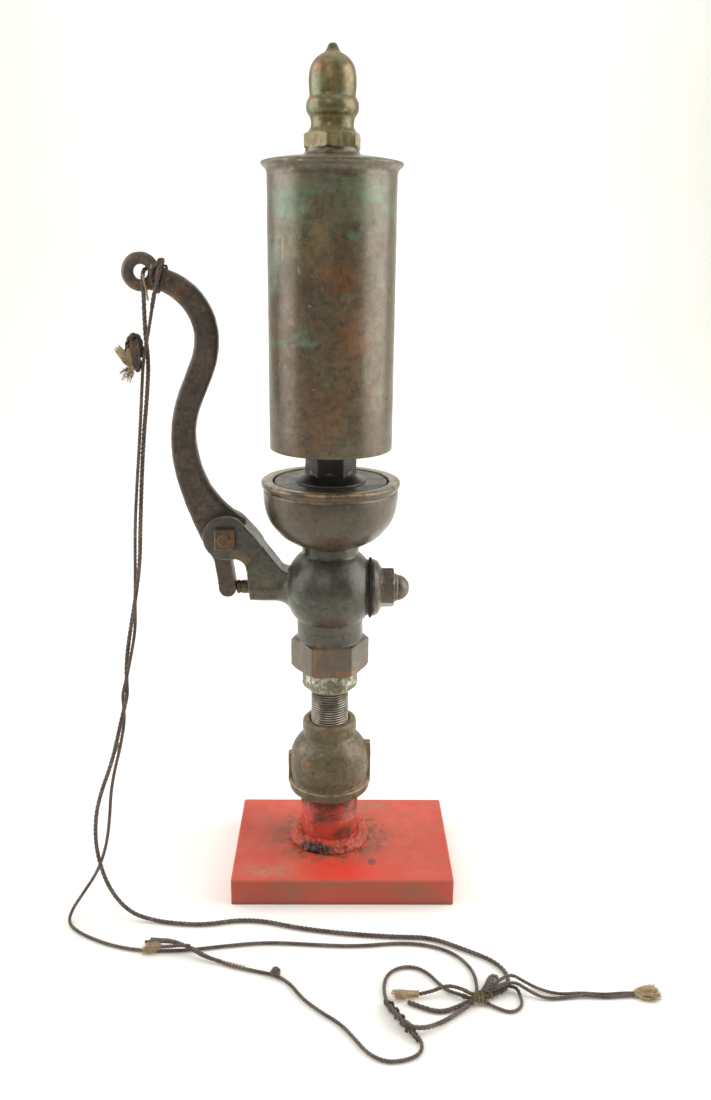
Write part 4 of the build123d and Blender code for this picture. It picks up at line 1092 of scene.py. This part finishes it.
def make_cup():
    cup = lathe("cup_bowl", [
        (0, 247), (18.6, 247, 0.4), (19.4, 247.3, 0.3), (25.6, 249, 2), (33.2, 253.6, 3),
        (37.3, 258.2, 4), (41.5, 263.6, 4), (44.3, 270.6, 4), (45.5, 278, 3), (45.6, 285.3, 0.5),
        (45, 286.1, 0.4), (45.7, 286.9, 0.4), (46.7, 288.2, 0.8), (47.05, 289.8, 1), (46.8, 291.3, 0.7),
        (45.9, 291.95, 0.5), (39.9, 291.95, 0.5), (39.2, 291.2, 0.3), (39.2, 285), (41.2, 281), (40.4, 272),
        (33.4, 261.6), (22, 256.2), (0, 256.2),
    ], 192, 0.08, False, 5)
    piece(cup, "whistle_cup", "cup")
    disc = lathe("slot_disc", [
        (6.4, 285.5), (36.8, 285.5, 0.5), (38.1, 286.6, 0.4), (38.1, 291, 0.4), (37.4, 291.4, 0.3),
        (30, 291.3), (6.4, 291.3),
    ], 160, 0.05, True, 2)
    piece(disc, "languid_plate", "disc")
    skirt = lathe("skirt", [
        (6.4, 291.3), (24, 291.35, 0.3), (23.4, 292.4, 0.6), (19, 294.4, 1.5), (15.8, 297, 1.2),
        (15.2, 299.5), (6.4, 299.5),
    ], 120, 0.15, True, 6)
    bar = hex_bar("bar", 30.5, 293.4, 332, 0, (0.3, 1), 0.16, 9)
    piece(joined("dark_hexagon", [skirt, bar]), "stem_hex", "hex")


def make_valve():
    casting("valve_casting", "valve_body", 0.55, 5, (0.14, 0.11, 2), "valve")
    casting("cap_casting", "valve_cap", 0.4, 3, (0.1, 0.2, 3), "cap")


def make_spring():
    """The CAD return spring, with a mesh of its own."""
    spring = piece(copy_of("return_spring"), "return_spring", "spring", angle=60)
    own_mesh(spring)


def make_lever():
    casting("lever_forging", "whistle_lever", 0.5, 9, (0.22, 0.1, 5), "lever", "lever")
    casting("square_bolt", "pivot_bolt", 0.3, 5, (0.12, 0.3, 6), "bolt")


def make_fittings():
    casting("reducer_casting", "bell_reducer", 0.6, 5, (0.22, 0.12, 7), "reducer")
    nipple = thread_bar("nipple_thread", 13.33, 1.05, PITCH_14_TPI, (101, 155), (102, 154), 1)
    piece(nipple, "pipe_nipple", "nipple", angle=50)
    bushing = hex_bar("bushing_head", 35.0, 141.0, 155.7, 0, (0.9, 0.9), 0.25, 2, 0.5)
    roughen(bushing, 0.14, 0.25, 2)
    piece(bushing, "hex_bushing", "bushing")


def make_base():
    riser = thread_bar("riser_thread", 21.05, 1.15, PITCH_11_5_TPI, (19.1, 76), (39, 75), 2)
    roughen(riser, 0.16, 0.16, 4)
    piece(riser, "riser_pipe", "scorched", angle=60)
    rng = random.Random(7)
    lumps = [copy_of("base_weld")]
    count = 40
    for k in range(count):
        a = 2 * pi * k / count + rng.uniform(-0.08, 0.08)
        r = rng.uniform(23.0, 27.4)
        size = (rng.uniform(1.8, 3.8), rng.uniform(1.8, 3.8), rng.uniform(1.4, 3.6))
        lumps.append(blob((r * cos(a), r * sin(a), 19.4 + rng.uniform(0, 4.2)), size, k))
    weld = remeshed("weld_bead", lumps, 0.5, 3)
    roughen(weld, 0.9, 0.3, 3)
    piece(weld, "base_weld", "scorched", angle=180)


make_bell()
make_acorn()
make_cup()
make_valve()
make_spring()
make_lever()
make_fittings()
make_base()

# The remaining CAD pieces keep their shape and take a finish.
NODE_PAINT = {
    "base_plate": "red", "valve_seat": "stem", "stem_bush": "stem", "valve_stem": "spindle",
    "disc_washer": "rubber", "disc_holder": "stem", "disc_nut": "stem", "cap_gasket": "rubber",
    "pivot_washer": "bolt", "pivot_nut": "bolt", "bell_stem": "stem",
}
for node, paint in NODE_PAINT.items():
    wear(NODES[node], PAINTS[paint])


# ---- floor and light --------------------------------------------------------------------

FLOOR_GAP = 0.0002  # how far the floor lies below the object, in metres


def floor_paint():
    p = Paint("floor", metallic=0.0, roughness=0.65, specular=0.3)
    p.start((250, 249, 243), (252, 251, 246), 0.3, 0.7, 3, 3, 0.5)
    return p.finish()


def make_floor():
    """Pale sweep: flat under the object and curving up behind it."""
    front, bend, top, half_width = -3.0, 0.9, 4.0, 4.0
    profile = [(front, 0.0), (front / 2, 0.0), (bend, 0.0)]
    for k in range(1, 13):
        a = pi / 2 * k / 12
        profile.append((bend + bend * sin(a), bend - bend * cos(a)))
    profile.append((2 * bend, top))
    verts = [(x, y, z) for y, z in profile for x in (-half_width, half_width)]
    faces = [(2 * i, 2 * i + 1, 2 * i + 3, 2 * i + 2) for i in range(len(profile) - 1)]
    mesh = mesh_from("floor", verts, faces)
    mesh.polygons.foreach_set("use_smooth", [True] * len(mesh.polygons))
    obj = placed("floor", mesh)
    obj.location.z = -FLOOR_GAP
    wear(obj, floor_paint())


def area_light(name, place, target, size, power, colour):
    data = bpy.data.lights.new(name, "AREA")
    data.shape = "RECTANGLE"
    data.size, data.size_y = size
    data.energy = power
    data.color = colour
    obj = placed(name, data)
    way = Vector(target) - Vector(place)
    obj.matrix_world = Matrix.Translation(place) @ way.to_track_quat("-Z", "Y").to_matrix().to_4x4()


def make_light():
    world = bpy.data.worlds.new("studio")
    SCENE.world = world
    world.use_nodes = True
    background = world.node_tree.nodes["Background"]
    background.inputs["Color"].default_value = (1.0, 0.985, 0.95, 1)
    background.inputs["Strength"].default_value = 0.15
    area_light("left", (-1.15, 0.05, 0.7), (0, 0, 0.3), (1.2, 1.3), 14.5, (1, 0.99, 0.975))
    area_light("right", (1.15, -0.05, 0.7), (0, 0, 0.3), (1.2, 1.3), 18, (1, 0.99, 0.98))
    area_light("front", (-0.5, -1.6, 1.3), (0, 0, 0.2), (1.0, 1.0), 6.5, (1, 0.99, 0.97))
    area_light("top", (0, 0.1, 1.9), (0, 0.1, 0.0), (2.2, 2.0), 15, (1, 0.99, 0.975))
    area_light("backdrop", (0, 0.8, 1.7), (0, 1.8, 0.9), (2.4, 0.5), 10, (1, 0.995, 0.98))


make_floor()
make_light()
SCENE.view_settings.view_transform = "Standard"
